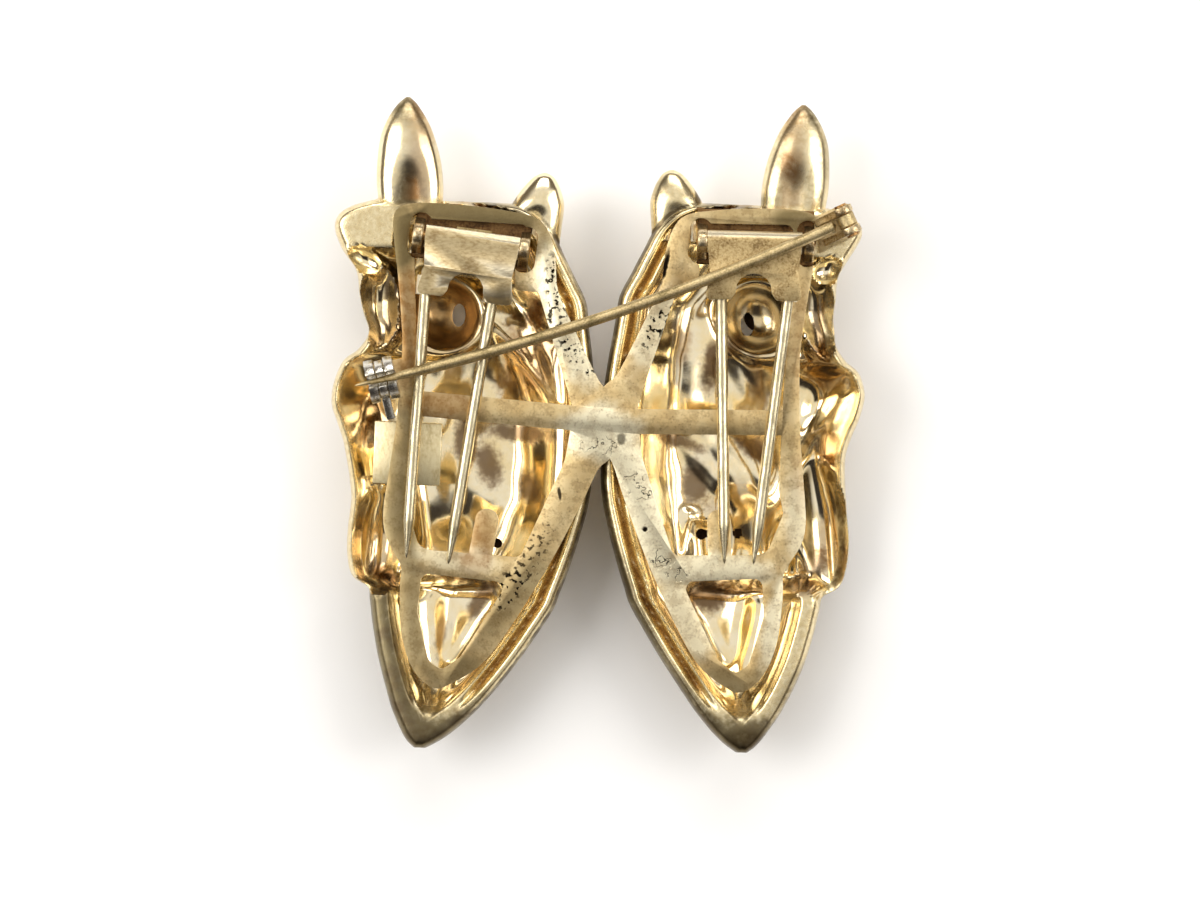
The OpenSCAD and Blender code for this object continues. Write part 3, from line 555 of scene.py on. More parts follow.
# name, light tone, dark tone, dirt, roughness, seed, then grain size, stretch, how dirty, depth
# of the grain in mm and the strength of the painted edge highlight, where they differ from the
# usual
SMALL_PARTS = [
    ("left_plate_gilt", (192, 174, 136), (164, 144, 104), (124, 100, 66), 0.42, 21.0,
     0.2, (2, 1, 1), 0.5, 0.02, 1.0),
    ("right_plate_gilt", (198, 176, 130), (166, 140, 94), (96, 74, 46), 0.42, 23.0,
     0.2, (1, 1, 1), 0.8, 0.02, 1.0),
    ("wire_silver", (214, 203, 172), (180, 166, 132), (104, 90, 62), 0.20, 31.0,
     0.12, (1, 10, 1), 0.3),
    ("pin_wire", (214, 194, 148), (174, 150, 104), (104, 94, 60), 0.34, 41.0,
     0.16, (1, 1, 1), 0.7, 0.03),
    ("rod_brass", (190, 150, 96), (140, 100, 60), (60, 42, 28), 0.34, 51.0, 0.18, (1, 1, 1), 0.6),
    ("spring_gilt", (196, 176, 130), (160, 136, 92), (90, 72, 48), 0.32, 61.0),
    ("catch_silver", (236, 232, 222), (196, 190, 176), (96, 86, 72), 0.20, 71.0,
     0.12, (1, 1, 4), 0.45),
    ("bracket_silver", (224, 208, 172), (168, 138, 92), (84, 60, 38), 0.24, 81.0,
     0.15, (1, 1, 3), 0.7),
    # the bracket's base, painted dark as the shadow of the frame's top bar
    ("soldered_base", (128, 98, 62), (92, 66, 42), (40, 28, 20), 0.38, 111.0,
     0.2, (1, 1, 1), 0.7),
    # the walls and ends of the blind holes, painted dark as shade
    ("bore_dark", (58, 42, 28), (38, 27, 19), (20, 15, 12), 0.5, 121.0),
    ("tag_gilt", (230, 216, 176), (214, 196, 150), (150, 126, 82), 0.30, 91.0,
     0.2, (1, 2, 1), 0.35, 0.01, 1.0)]
small_finish = {row[0]: make_satin(*row) for row in SMALL_PARTS}
print("finishes so far:", len(bpy.data.materials))

# %% [markdown]
# ## The sizes of a head
#
# The castings follow the measured model's own rule. The height of the back is the rim less a
# hollow, with moulded bands along the edges. The two heads are mirror images, so everything is
# worked out for the right one and mirrored. The overall sizes are read from the measured model
# and not typed again, so that both stay together.

# %% Sizes of a head
head_low, head_high = (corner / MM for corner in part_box("right_head"))
far_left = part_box("left_head")[0].x / MM
GAP = head_low.x
HEAD_W = (head_high.x - far_left) / 2 - GAP
SHIFT = 0.37
EAR_LEN = 9.3
HEAD_LEN = head_high.y - head_low.y - EAR_LEN
LOW = head_low.y - SHIFT
RIM_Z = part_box("frame")[0].z / MM - 0.1
HOLLOW = 5.3
WALL = 1.1
EDGE_H = 2.2
EAR_T = 3.4
# where the tip's own moulding begins and where it is complete, as shares of the length
TIP_FROM, TIP_FULL = 0.325, 0.275
# where the level lug beside the big ear begins and is complete, as shares
LUG_ALONG, LUG_ACROSS = (0.898, 0.912), (0.735, 0.765)
# depths below the rim from which the relief and the polish come in, and are complete, in mm
RELIEF_DEPTH, POLISH_DEPTH = (0.8, 2.4), (1.5, 2.8)
# how far from an edge the casting is rounded, and how far it falls there, in mm
EDGE_ROUND, EDGE_FALL = 0.65, 0.9

print("head of", round(HEAD_W, 1), "by", round(HEAD_LEN, 1), "mm, rim at", round(RIM_Z, 1), "mm")

# %% [markdown]
# ## The outline of a head
#
# A horse's head in profile has too many turns for one formula, and a traced curve would have
# far more points than anyone could read. So a short table gives the inner and the outer edge as
# shares of the head, and a smooth curve is read through its rows. The two ears and the moulded
# bands beside the rim are tables of the same kind.

# %% Outline of a head
# share of the length from the tip, inner edge, outer edge
HEAD_EDGE = [
    (0.000, 0.580, 0.622), (0.008, 0.551, 0.643), (0.020, 0.515, 0.664), (0.040, 0.468, 0.690),
    (0.079, 0.393, 0.733), (0.158, 0.270, 0.794), (0.225, 0.179, 0.828), (0.266, 0.129, 0.843),
    (0.290, 0.112, 0.856), (0.306, 0.100, 0.912), (0.339, 0.077, 0.938), (0.391, 0.045, 0.944),
    (0.462, 0.011, 0.931), (0.546, 0.000, 0.942), (0.586, 0.000, 0.967), (0.619, 0.000, 0.993),
    (0.657, 0.004, 1.000), (0.688, 0.011, 0.983), (0.705, 0.015, 0.962), (0.720, 0.019, 0.920),
    (0.749, 0.028, 0.880), (0.785, 0.039, 0.884), (0.826, 0.052, 0.894), (0.870, 0.097, 0.905),
    (0.913, 0.142, 0.958), (0.947, 0.176, 0.990), (0.968, 0.209, 0.984), (0.984, 0.248, 0.944),
    (0.994, 0.288, 0.886), (1.000, 0.335, 0.845)]
# share of the length from the tip, share of the width by which the left head's outer edge lies
# further out and the right head's further in
SIDE_SWAY = [
    (0.00, 0.028), (0.05, 0.012), (0.12, -0.006), (0.20, -0.014), (0.33, -0.019), (0.44, -0.019),
    (0.49, -0.006), (0.55, 0.010), (0.62, 0.012), (0.67, 0), (0.76, 0), (0.80, 0.022),
    (0.86, 0.030), (0.90, 0.042), (0.93, 0.038), (0.96, 0.028), (1.00, 0.015)]

# share of the ear's length, middle and half width as shares of the head's width, thickness
BIG_EAR = [
    (0.00, 0.712, 0.120, 0.80), (0.17, 0.717, 0.124, 0.92), (0.34, 0.723, 0.128, 1.00),
    (0.52, 0.730, 0.121, 0.97), (0.68, 0.738, 0.105, 0.89), (0.80, 0.741, 0.083, 0.77),
    (0.90, 0.743, 0.054, 0.58), (0.96, 0.743, 0.031, 0.38), (1.00, 0.743, 0.008, 0.12)]
SMALL_EAR = [
    (0.00, 0.268, 0.108, 0.90), (0.22, 0.263, 0.108, 1.00), (0.45, 0.255, 0.106, 0.98),
    (0.57, 0.247, 0.098, 0.94), (0.69, 0.241, 0.084, 0.86), (0.81, 0.235, 0.066, 0.73),
    (0.93, 0.230, 0.041, 0.50), (0.98, 0.228, 0.021, 0.28), (1.00, 0.228, 0.006, 0.10)]
# how much further out the left big ear lies than in the table, and the right one further in
EAR_LEAN = 0.021

# distance from the edge, depth below the rim
INNER_BANDS = [
    (0.0, 0.0), (0.65, 0.0), (0.95, 0.15), (1.15, 0.6), (1.35, 1.1), (1.55, 0.75), (1.9, 0.25),
    (2.25, 0.7), (2.5, 1.2), (3.3, 0.4), (4.2, 0)]
TIP_BANDS = [(0.0, 0.0), (1.5, 0.0), (1.7, 0.15), (1.95, 0.8), (2.4, 1.2), (3.4, 0.5), (4.6, 0)]
OUTER_BANDS = [(0.0, 0.0), (0.45, 0.0), (0.9, 0.25), (1.6, 0.25), (2.6, 0)]


def across(share):
    return GAP + share * HEAD_W


def swayed(side, share, s):
    """Where a share of the width comes to lie once its side's sway is added."""
    return share * (1 - SIGN[side] * read(SIDE_SWAY, np.clip(s, 0, 1), 1))


def along(share):
    return LOW + share * HEAD_LEN


def read(table, at, column):
    """Smooth curve through one column of a table, read at many places at once."""
    rows = np.array(table, float)
    x, y = rows[:, 0], rows[:, column]
    n = np.arange(len(x))
    before, after = np.maximum(n - 1, 0), np.minimum(n + 1, len(x) - 1)
    slope = (y[after] - y[before]) / (x[after] - x[before])
    i = np.clip(np.searchsorted(x, at, side="right") - 1, 0, len(x) - 2)
    d = x[i + 1] - x[i]
    u = np.clip((at - x[i]) / d, 0, 1)
    a, b, m, k = y[i], y[i + 1], slope[i] * d, slope[i + 1] * d
    return a + u * (m + u * (3 * (b - a) - 2 * m - k + u * (2 * (a - b) + m + k)))


widest = max(HEAD_EDGE, key=lambda row: row[2] - row[1])
print("a head is widest at", widest[0], "of its length from the tip")

# %% [markdown]
# ## The relief inside a head
#
# Seen from behind, every swelling of the horse's face is a hollow. Four kinds of stroke draw
# it: soft swells, round dishes with a crisp lip such as the eye's bowl, bundles of sharp folds
# for the mane, and single crests. All are short tables, placed as shares of the head, so that
# the drawing stays in place if the head changes.

# %% Relief tables
BOTH, LEFT, RIGHT = SIDES, SIDES[:1], SIDES[1:]

# heads, across, along, half width, half length, turn, lift in hollow depths
SWELLS = [
    (BOTH, 0.6, 0.795, 0.19, 0.092, 0, 0.35),
    (BOTH, 0.86, 0.79, 0.03, 0.07, 8, 0.2),
    (BOTH, 0.88, 0.63, 0.08, 0.07, 0, -0.25),
    (BOTH, 0.74, 0.44, 0.05, 0.14, -6, 0.38),
    (BOTH, 0.56, 0.36, 0.12, 0.08, 10, -0.25),
    (LEFT, 0.3, 0.74, 0.07, 0.12, -33, 0.24),
    (LEFT, 0.7, 0.6, 0.09, 0.1, 15, 0.24),
    (LEFT, 0.52, 0.43, 0.1, 0.14, 18, 0.12),
    (RIGHT, 0.4, 0.69, 0.09, 0.11, 16, 0.12),
    (RIGHT, 0.64, 0.48, 0.09, 0.15, 30, 0.2)]
# heads, across, along, half width and half length in mm, turn, lip's height in mm, depth in mm,
# how round: 0.5 is a ball, 1 a shallow dish
DISHES = [
    (BOTH, 0.588, 0.795, 3.3, 3.3, 0, 5.2, 3.6, 0.5),
    (BOTH, 0.822, 0.803, 1.75, 3.5, 4, 6.2, 1.6, 0.9),
    (BOTH, 0.867, 0.885, 1.5, 1.1, 30, 6.9, 0.8, 1),
    (LEFT, 0.808, 0.378, 2.45, 4.6, 3, 5.2, 1.9, 1),
    (RIGHT, 0.845, 0.415, 2.15, 6.4, 6, 5, 1.7, 1)]
# heads, across, along, half width and length in mm, turn, distance between folds, their height
FOLDS = [
    (LEFT, 0.275, 0.735, 3.2, 5.6, -33, 2.1, 0.34),
    (LEFT, 0.47, 0.655, 2.4, 2.2, 10, 2, 0.22),
    (LEFT, 0.79, 0.56, 2, 3.6, 2, 1.5, 0.22),
    (RIGHT, 0.54, 0.69, 2, 2.2, 28, 1.7, 0.24)]
# heads, two ends across and along, half width and height in mm
CRESTS = [
    (LEFT, 0.52, 0.31, 0.545, 0.16, 1.3, 0.5),
    (LEFT, 0.842, 0.62, 0.836, 0.48, 0.55, 0.55),
    (RIGHT, 0.555, 0.31, 0.53, 0.16, 1.3, 0.6),
    (RIGHT, 0.29, 0.575, 0.455, 0.482, 0.24, 0.4),
    (RIGHT, 0.315, 0.585, 0.475, 0.492, 0.22, 0.26),
    (RIGHT, 0.94, 0.7, 0.875, 0.625, 0.34, 0.4),
    (RIGHT, 0.875, 0.625, 0.812, 0.565, 0.34, 0.4),
    (RIGHT, 0.812, 0.565, 0.8, 0.52, 0.34, 0.36),
    (RIGHT, 0.338, 0.428, 0.432, 0.424, 0.34, 0.7),
    (RIGHT, 0.338, 0.428, 0.335, 0.36, 0.34, 0.7),
    (RIGHT, 0.452, 0.44, 0.456, 0.35, 0.45, 0.85)]

print("strokes of relief:", len(SWELLS) + len(DISHES) + len(FOLDS) + len(CRESTS))

# %% [markdown]
# ## Adding up the strokes
#
# A stroke of the sculptor's tool is a bump that fades out to all sides. Each function below
# adds up the strokes of one table as bell curves, which leave no seam where two of them cross.
# Sculpting by hand could give the same forms, but nobody could read or change them here.

# %% Strokes of relief
def turned(across_share, along_share, w, s, turn):
    """Distance in mm from a place in the relief, along axes turned by an angle."""
    x, y = (w - across_share) * HEAD_W, (s - along_share) * HEAD_LEN
    c, k = math.cos(math.radians(turn)), math.sin(math.radians(turn))
    return x * c + y * k, y * c - x * k


def rows_for(table, side):
    return [row[1:] for row in table if side in row[0]]


def swells(side, w, s):
    total = 0.0
    for a, b, half_w, half_l, turn, lift in rows_for(SWELLS, side):
        u, v = turned(a, b, w, s, turn)
        far = (u / (half_w * HEAD_W)) ** 2 + (v / (half_l * HEAD_LEN)) ** 2
        total = total + lift * np.exp(-far)
    return total


def folds(side, w, s):
    total = 0.0
    for a, b, half_w, half_l, turn, pitch, height in rows_for(FOLDS, side):
        u, v = turned(a, b, w, s, turn)
        bent = u + 0.3 * np.sin(v * 0.5 + a * 9)
        wave = np.abs(np.sin(np.pi * bent / pitch)) - 0.6
        total = total + height * wave * np.exp(-((u / half_w) ** 2 + (v / half_l) ** 2) ** 2)
    return total


def crests(side, w, s):
    total = 0.0
    for a0, b0, a1, b1, half, height in rows_for(CRESTS, side):
        x, y = (w - a0) * HEAD_W, (s - b0) * HEAD_LEN
        dx, dy = (a1 - a0) * HEAD_W, (b1 - b0) * HEAD_LEN
        t = np.clip((x * dx + y * dy) / (dx * dx + dy * dy), 0, 1)
        off = np.hypot(x - t * dx, y - t * dy)
        total = np.maximum(total, 0) + height * np.exp(-(off / half) ** 1.5)
    return total


print("lift in the middle of the left head:", round(float(swells("left", 0.5, 0.5)), 2))

# %% [markdown]
# ## Distances on a head
#
# The moulded bands run beside the rim at an even width, and the rim itself is rounded off by
# polishing. Both follow from how far a place is from the edges, measured square to them. The
# nearest point of an edge could be searched for, but the distance along a row, corrected by the
# edge's slant, is nearly the same and is worked out for all places at once.

# %% Distances on a head
def ease(value, low, high):
    """Rises smoothly from 0 at low to 1 at high, or falls where low is the larger."""
    u = np.clip((value - low) / (high - low), 0, 1)
    return u * u * (3 - 2 * u)


def lean(s, column):
    """Cosine of an edge's slant, to measure a distance square to the edge."""
    a, b = np.maximum(s - 0.01, 0), np.minimum(s + 0.01, 1)
    rise = (read(HEAD_EDGE, b, column) - read(HEAD_EDGE, a, column)) * HEAD_W
    return np.cos(np.arctan(rise / ((b - a) * HEAD_LEN)))


def edge_distances(w, s):
    inner = np.maximum(w - read(HEAD_EDGE, s, 1), 0) * HEAD_W * lean(s, 1)
    outer = np.maximum(read(HEAD_EDGE, s, 2) - w, 0) * HEAD_W * lean(s, 2)
    return inner, outer, np.maximum(1 - s, 0) * HEAD_LEN


def arch(distance, reach):
    return np.sin(np.pi / 2 * np.clip(distance / reach, 0, 1))


def lug_share(w, s):
    """1 on the level lug beside the big ear, 0 elsewhere."""
    return ease(s, *LUG_ALONG) * ease(w, *LUG_ACROSS)


def rounding(w, s):
    """How far a cast edge is rounded down, from the nearest edge."""
    inner, outer, top = edge_distances(w, s)
    near = np.minimum(np.minimum(inner, outer), np.minimum(top, s * HEAD_LEN + 0.1))
    worn = 1 - np.sqrt(1 - np.clip(1 - near / EDGE_ROUND, 0, 1) ** 2)
    return EDGE_FALL * worn + 0.22 * np.clip(1 - near / (2 * EDGE_ROUND), 0, 1) ** 2


def waves(x, y):
    """The slow unevenness of a polished casting, in mm."""
    return 0.022 * (np.sin(1.25 * x + 0.5 * y) + np.sin(1.5 * y - 0.9 * x + 1.3)
                    + np.sin(2.1 * y + 1.1 * x + 0.4) * 0.7 + np.sin(2.4 * x - 1.3 * y) * 0.6)


middle = edge_distances(np.array([0.5]), np.array([0.5]))
print("from the middle of a head to its edges:", [round(float(d[0]), 1) for d in middle], "mm")

# %% [markdown]
# ## Ears
#
# The ears are cast solid with the head. Each swells and narrows by its table, like a stack of
# ovals, and has a shallow hollow at its foot. One rule serves twice: it gives the rings of the
# ear's own mesh, and it lifts the casting to meet them, so that no step shows between the two.

# %% Ears
def ears(side):
    """Table, start, length, thickness and sideways move of both ears of a head, in mm."""
    lean_by = -SIGN[side] * EAR_LEAN * HEAD_W
    return [(BIG_EAR, 0.955, EAR_LEN + HEAD_LEN * 0.045, EAR_T, lean_by),
            (SMALL_EAR, 0.93, HEAD_LEN * 0.13, EAR_T * 0.9, 0.0)]


def ear_rise(t, off):
    """Height share of an ear's back at an offset from its middle, with the hollow at its foot."""
    foot = 0.30 * np.exp(-(off / 0.42) ** 2) * ease(t, 0.62, 0.28)
    return np.sqrt(np.clip(1 - off ** 2, 0, 1)) - foot


def ear_back(w, s, table, start, length, thick, move):
    """Height of an ear's back over the head, or far below where there is no ear."""
    t = (s - start) * HEAD_LEN / length
    middle, half, k = (read(table, np.clip(t, 0, 1), c) for c in (1, 2, 3))
    off = (w - middle - move / HEAD_W) / half
    z = RIM_Z - thick / 2 + thick / 2 * k * ear_rise(t, off)
    return np.where((np.abs(off) < 1) & (t > 0) & (t < 1), z, -9.0)


print("ears of", [round(one[2], 1) for one in ears("left")], "mm")

# %% [markdown]
# ## The height of the back and the front
#
# One function gives the height of the back at any place of a head, from the distances to its
# edges. The front lies a wall's thickness below it, and comes up a little at the outer edge,
# which is what a casting from a rubber mould looks like. A thickness modifier could make the
# front from the back, but it tears where a deep hollow turns sharply.

# %% Back and front of a head
def back_height(side, w, s):
    inner, outer, top = edge_distances(w, s)
    low = ease(s, TIP_FROM, TIP_FULL)
    hollow = (HOLLOW * (1 - 0.3 * low) * arch(inner - 2.2, 5.5 - 2.0 * low)
              * arch(outer - 0.5 - 1.7 * low, 4.5 - 1.3 * low) * arch(top - 1.2, 4)
              * (1 - swells(side, w, s) * (1 - low)))
    lug = lug_share(w, s)
    hollow = np.maximum(hollow, 0) * (1 - lug) + 0.35 * lug
    inside = ease(hollow, *RELIEF_DEPTH)
    bands = (read(INNER_BANDS, inner, 1) + low * read(TIP_BANDS, outer, 1)
             + (1 - low) * (1 - lug) * read(OUTER_BANDS, outer, 1)) * ease(s, 0.06, 0.13)
    z = RIM_Z - hollow - bands - rounding(w, s)
    z = z + inside * (folds(side, w, s) + crests(side, w, s) + waves(w * HEAD_W, s * HEAD_LEN))
    for a, b, half_w, half_l, turn, lip, depth, power in rows_for(DISHES, side):
        u, v = turned(a, b, w, s, turn)
        out = np.hypot(u / half_w, v / half_l)
        dish = lip - depth * np.clip(1 - out ** 2, 0, 1) ** power
        share = ease(out, 1.12, 0.98)
        z = z * (1 - share) + np.minimum(dish, RIM_Z - 0.5) * share
        z = z + 0.22 * np.exp(-((out - 1.08) * half_w / 0.22) ** 2) * ease(hollow, 0.4, 1.5)
    return np.maximum(z, WALL)


def calmed(back, times=8):
    """The same heights with the deep places polished: each point takes on its neighbours' mean."""
    share = ease(RIM_Z - back, *POLISH_DEPTH)
    for _ in range(times):
        wide = np.pad(back, 1, mode="edge")
        wide = (wide[:-2] + 2 * wide[1:-1] + wide[2:]) / 4
        wide = (wide[:, :-2] + 2 * wide[:, 1:-1] + wide[:, 2:]) / 4
        back = back * (1 - share) + wide * share
    return back


def front_height(w, s, back):
    inner, outer, top = edge_distances(w, s)
    near = np.minimum(np.minimum(inner, outer), top)
    z = back - WALL - (EDGE_H - WALL) * np.exp(-(near / 1.3) ** 2)
    z = z + 0.7 * np.clip(1 - near / 0.6, 0, 1) ** 2
    return np.maximum(z, 0)


middle_row = back_height("left", np.linspace(0.1, 0.85, 50), np.full(50, 0.5))
print("the middle row is between", round(middle_row.min(), 2), "and", round(middle_row.max(), 2),
      "mm high")

# %% [markdown]
# ## Helpers for meshes
#
# Every piece of a head starts as points and faces. Soldering and drilling are done by the
# Boolean modifier's Manifold solver, which is fast and leaves closed meshes closed, as long as
# all faces point outwards. These short helpers do what every piece below needs, in mm.

# %% Mesh helpers
def mesh_piece(name, points, faces):
    """A new object from points in mm."""
    mesh = bpy.data.meshes.new(name)
    mesh.from_pydata([tuple(p) for p in np.array(points, float) * MM], [], faces)
    mesh.update()
    return linked(name, mesh)


def bm_piece(name, bm):
    """A new object from an edit mesh, which goes."""
    mesh = bpy.data.meshes.new(name)
    bm.to_mesh(mesh)
    bm.free()
    return linked(name, mesh)


def wear(mesh, *finishes):
    """Gives a mesh these finishes and no other."""
    mesh.materials.clear()
    for finish in finishes:
        mesh.materials.append(finish)


def moved(piece, matrix):
    """Moves a piece's mesh by a matrix that is meant for mm."""
    piece.data.transform(Matrix.Scale(MM, 4) @ matrix @ Matrix.Scale(1 / MM, 4))
    return piece


def outward(piece):
    """Points every face of a closed mesh outwards."""
    bm = bmesh.new()
    bm.from_mesh(piece.data)
    bmesh.ops.recalc_face_normals(bm, faces=bm.faces)
    bm.to_mesh(piece.data)
    bm.free()
    return piece


def settle(piece):
    """Turns an object's modifiers into its mesh."""
    graph = bpy.context.evaluated_depsgraph_get()
    mesh = bpy.data.meshes.new_from_object(piece.evaluated_get(graph))
    piece.modifiers.clear()
    old = piece.data
    piece.data = mesh
    mesh.name = piece.name
    bpy.data.meshes.remove(old)
    return piece


def merge(name, pieces):
    """One object from several, which go."""
    bm = bmesh.new()
    for piece in pieces:
        bm.from_mesh(piece.data)
        bpy.data.objects.remove(piece)
    return bm_piece(name, bm)


def soften(piece, width, angle, corner="MITER_SHARP"):
    """Bevels the edges of a piece that are sharper than an angle, by a width in mm."""
    modifier = piece.modifiers.new("soft", "BEVEL")
    modifier.width = width * MM
    modifier.segments = 2
    modifier.angle_limit = math.radians(angle)
    modifier.miter_outer = corner
    return settle(piece)


def cut(piece, tool, operation):
    """Unites a closed piece with another or cuts it by it, and the tool goes."""
    modifier = piece.modifiers.new(operation, "BOOLEAN")
    modifier.operation = operation
    modifier.solver = "MANIFOLD"
    modifier.object = tool
    settle(piece)
    bpy.data.objects.remove(tool)


def smooth(piece, angle=38):
    piece.data.shade_smooth()
    piece.data.set_sharp_from_angle(angle=math.radians(angle))


def ring_faces(n, rings):
    """Faces between rings of n points, each ring after the one before."""
    return [(r * n + k, r * n + (k + 1) % n, (r + 1) * n + (k + 1) % n, (r + 1) * n + k)
            for r in range(rings - 1) for k in range(n)]


print("a tube of 28 sides and 3 rings has", len(ring_faces(28, 3)), "faces")

# %% [markdown]
# ## The cast wall of a head
#
# The wall of a head was cast in one with its rim. A grid of points covers it, closer together
# near the edges, where the moulding is, and the back, the front and the rings of the rim make
# one closed skin. A block cut by Booleans would leave long thin triangles, and each of them
# would show in a polished hollow. The ears are stacks of ovals.

# %% The cast wall of a head
ROWS, CELLS = 230, 124
# how far the rim swells outwards between its upper and its lower edge, in mm
RIM_SWELL = 0.10


def cast_wall(side):
    u = np.linspace(0, 1, ROWS + 1)
    row = u - 0.012 * np.sin(2 * np.pi * u)
    v = np.linspace(0, 1, CELLS + 1)
    cell = 0.6 * v + 0.2 * (1 - np.cos(np.pi * v))
    s = np.repeat(row[:, None], CELLS + 1, axis=1)
    inner, outer = read(HEAD_EDGE, s, 1), read(HEAD_EDGE, s, 2)
    w = inner + (outer - inner) * cell[None, :]
    back = calmed(back_height(side, w, s))
    laid_w = swayed(side, w, s)
    for one in ears(side):
        back = np.maximum(back, np.minimum(ear_back(laid_w, s, *one) - 0.02, back + 3))
    front = front_height(w, s, back)
    x, y = across(laid_w), along(s)
    top = np.stack([x, y, back], -1).reshape(-1, 3)
    low = np.stack([x, y, front], -1).reshape(-1, 3)

    n = CELLS + 1
    index = np.arange((ROWS + 1) * n).reshape(ROWS + 1, n)
    rim = np.concatenate([index[0, :], index[1:, -1], index[-1, -2::-1], index[-2:0:-1, 0]])
    a, b = top[rim], low[rim]
    flow = np.roll(a, -1, 0) - np.roll(a, 1, 0)
    out = np.stack([flow[:, 1], -flow[:, 0], np.zeros(len(rim))], -1)
    out = out / np.maximum(np.linalg.norm(out, axis=1, keepdims=True), 1e-6)
    between = [a + (b - a) * t + out * RIM_SWELL * math.sin(math.pi * t)
               for t in (0.25, 0.5, 0.75)]

    total = len(top)
    points = np.concatenate([top, low] + between)
    quads = [(i, i + 1, i + 1 + n, i + n) for i in index[:-1, :-1].ravel()]
    under = [tuple(i + total for i in reversed(quad)) for quad in quads]
    count = len(rim)
    loops = [rim] + [2 * total + k * count + np.arange(count) for k in range(3)] + [rim + total]
    sides = [(int(p[(k + 1) % count]), int(p[k]), int(q[k]), int(q[(k + 1) % count]))
             for p, q in zip(loops, loops[1:]) for k in range(count)]
    faces = [tuple(int(i) for i in f) for f in quads + under] + sides
    return mesh_piece("cast_wall", points, faces)


def ear(table, start, length, thick, move):
    steps, around = 60, 72
    t = np.sin(np.linspace(0, np.pi / 2, steps + 1))[:, None]
    angle = (np.arange(around) * 2 * np.pi / around)[None, :]
    middle, half, k = (read(table, t, c) for c in (1, 2, 3))
    x = across(middle) + move + half * HEAD_W * np.cos(angle)
    y = along(start) + t * length + 0 * angle
    rise = np.where(np.sin(angle) > 0, ear_rise(t, np.cos(angle)), np.sin(angle))
    z = RIM_Z - thick / 2 + thick / 2 * k * rise
    points = np.stack([x, y, z], -1).reshape(-1, 3)
    caps = [tuple(range(around)), tuple(range(steps * around, (steps + 1) * around))]
    return mesh_piece("ear", points, ring_faces(around, steps + 1) + caps)


print("the back of a head is a grid of", ROWS, "by", CELLS, "cells")

# %% [markdown]
# ## Bracket, tag plate and holes
#
# The clip's hinge rod runs through two tabs that stand up from a base soldered to the casting.
# The left head also carries a small bare plate, soldered on a foot under the frame's bar. They
# are drawn anew here, and not copied from the measured solid, because they have to merge with
# the finer casting. The holes are oval rods, taken away from it.

# %% Bracket, tag plate and holes
# hinge across and along, turn
CLIP_PLACES = {"left": (0.496, 0.925, -5.5), "right": (0.556, 0.931, 1.0)}
# across, along, half width and half length in mm, height of the hole's end
HOLES = {"left": [(0.540, 0.795, 0.60, 1.05, -1), (0.355, 0.377, 0.45, 0.45, 1.9)],
         "right": [(0.545, 0.785, 0.62, 1.05, 0.75), (0.400, 0.394, 0.50, 0.50, 1.9),
                   (0.542, 0.398, 0.42, 0.42, 1.9)]}
# in mm: the hinge rod's radius and height, the tabs' places and thickness, the base's ends
ROD_R = 0.42
ROD_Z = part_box("left_hinge_rod")[0].z / MM + ROD_R
TAB_X = 4.8
TAB_T = 0.9
BASE_LOW, BASE_HIGH = -2, 3
# middle and half sizes of the tag plate in mm
TAG_X, TAG_Y = -across(0.71), along(0.536) - SHIFT
TAG_HALF_X, TAG_HALF_Y = 0.13 * HEAD_W, 0.0575 * HEAD_LEN


def clip_matrix(side):
    """From the frame of a clip's hinge, in mm, to the brooch."""
    a, b, turn = CLIP_PLACES[side]
    spot = Vector((SIGN[side] * across(a), along(b) + SIGN[side] * SHIFT, 0))
    return Matrix.Translation(spot) @ Matrix.Rotation(math.radians(turn), 4, "Z")


def block(low, high, round_by=0.0):
    """A box between two corners in mm, with its edges rounded."""
    bm = bmesh.new()
    bmesh.ops.create_cube(bm, size=1)
    for v in bm.verts:
        v.co = Vector([(l + h) / 2 + c * (h - l) for l, h, c in zip(low, high, v.co)]) * MM
    if round_by:
        bmesh.ops.bevel(bm, geom=bm.edges[:], offset=round_by * MM, segments=2, profile=0.5,
                        affect="EDGES")
    return bm_piece("block", bm)


def tag_plate():
    """The small bare plate in the left head, and its foot."""
    x, y, half_x, half_y, top = TAG_X, TAG_Y, TAG_HALF_X, TAG_HALF_Y, RIM_Z - 0.5
    plate = block((x - half_x, y - half_y, top - 0.6), (x + half_x, y + half_y, top), 0.10)
    foot = block((x - 0.67 * half_x, y - 0.67 * half_y, top - 2.9),
                 (x + 0.33 * half_x, y + 0.33 * half_y, top - 0.3))
    return [plate, foot]


def tab(x, matrix):
    """One upright tab of a bracket: straight sides and a round top, with soft edges."""
    half, top_r, foot = 1.6, 1.1, RIM_Z - 1.0
    arc = [(top_r * math.cos(a), ROD_Z + top_r * math.sin(a))
           for a in np.linspace(0, math.pi, 17)]
    side = [(half, foot), (half, ROD_Z - 0.9)] + arc + [(-half, ROD_Z - 0.9), (-half, foot)]
    points = [(x + k * TAB_T / 2, y, z) for k in (-1, 1) for y, z in side]
    n = len(side)
    walls = [(i, (i + 1) % n, n + (i + 1) % n, n + i) for i in range(n)]
    piece = mesh_piece("tab", points, walls + [tuple(range(n)), tuple(range(n, 2 * n))])
    return moved(soften(outward(piece), 0.14, 50), matrix)


def bracket(side):
    matrix = clip_matrix(side)
    reach = TAB_X + TAB_T / 2
    base = block((-reach, BASE_LOW, RIM_Z - 1.1), (reach, BASE_HIGH, RIM_Z), 0.12)
    return [moved(base, matrix)] + [tab(k * TAB_X, matrix) for k in (-1, 1)]


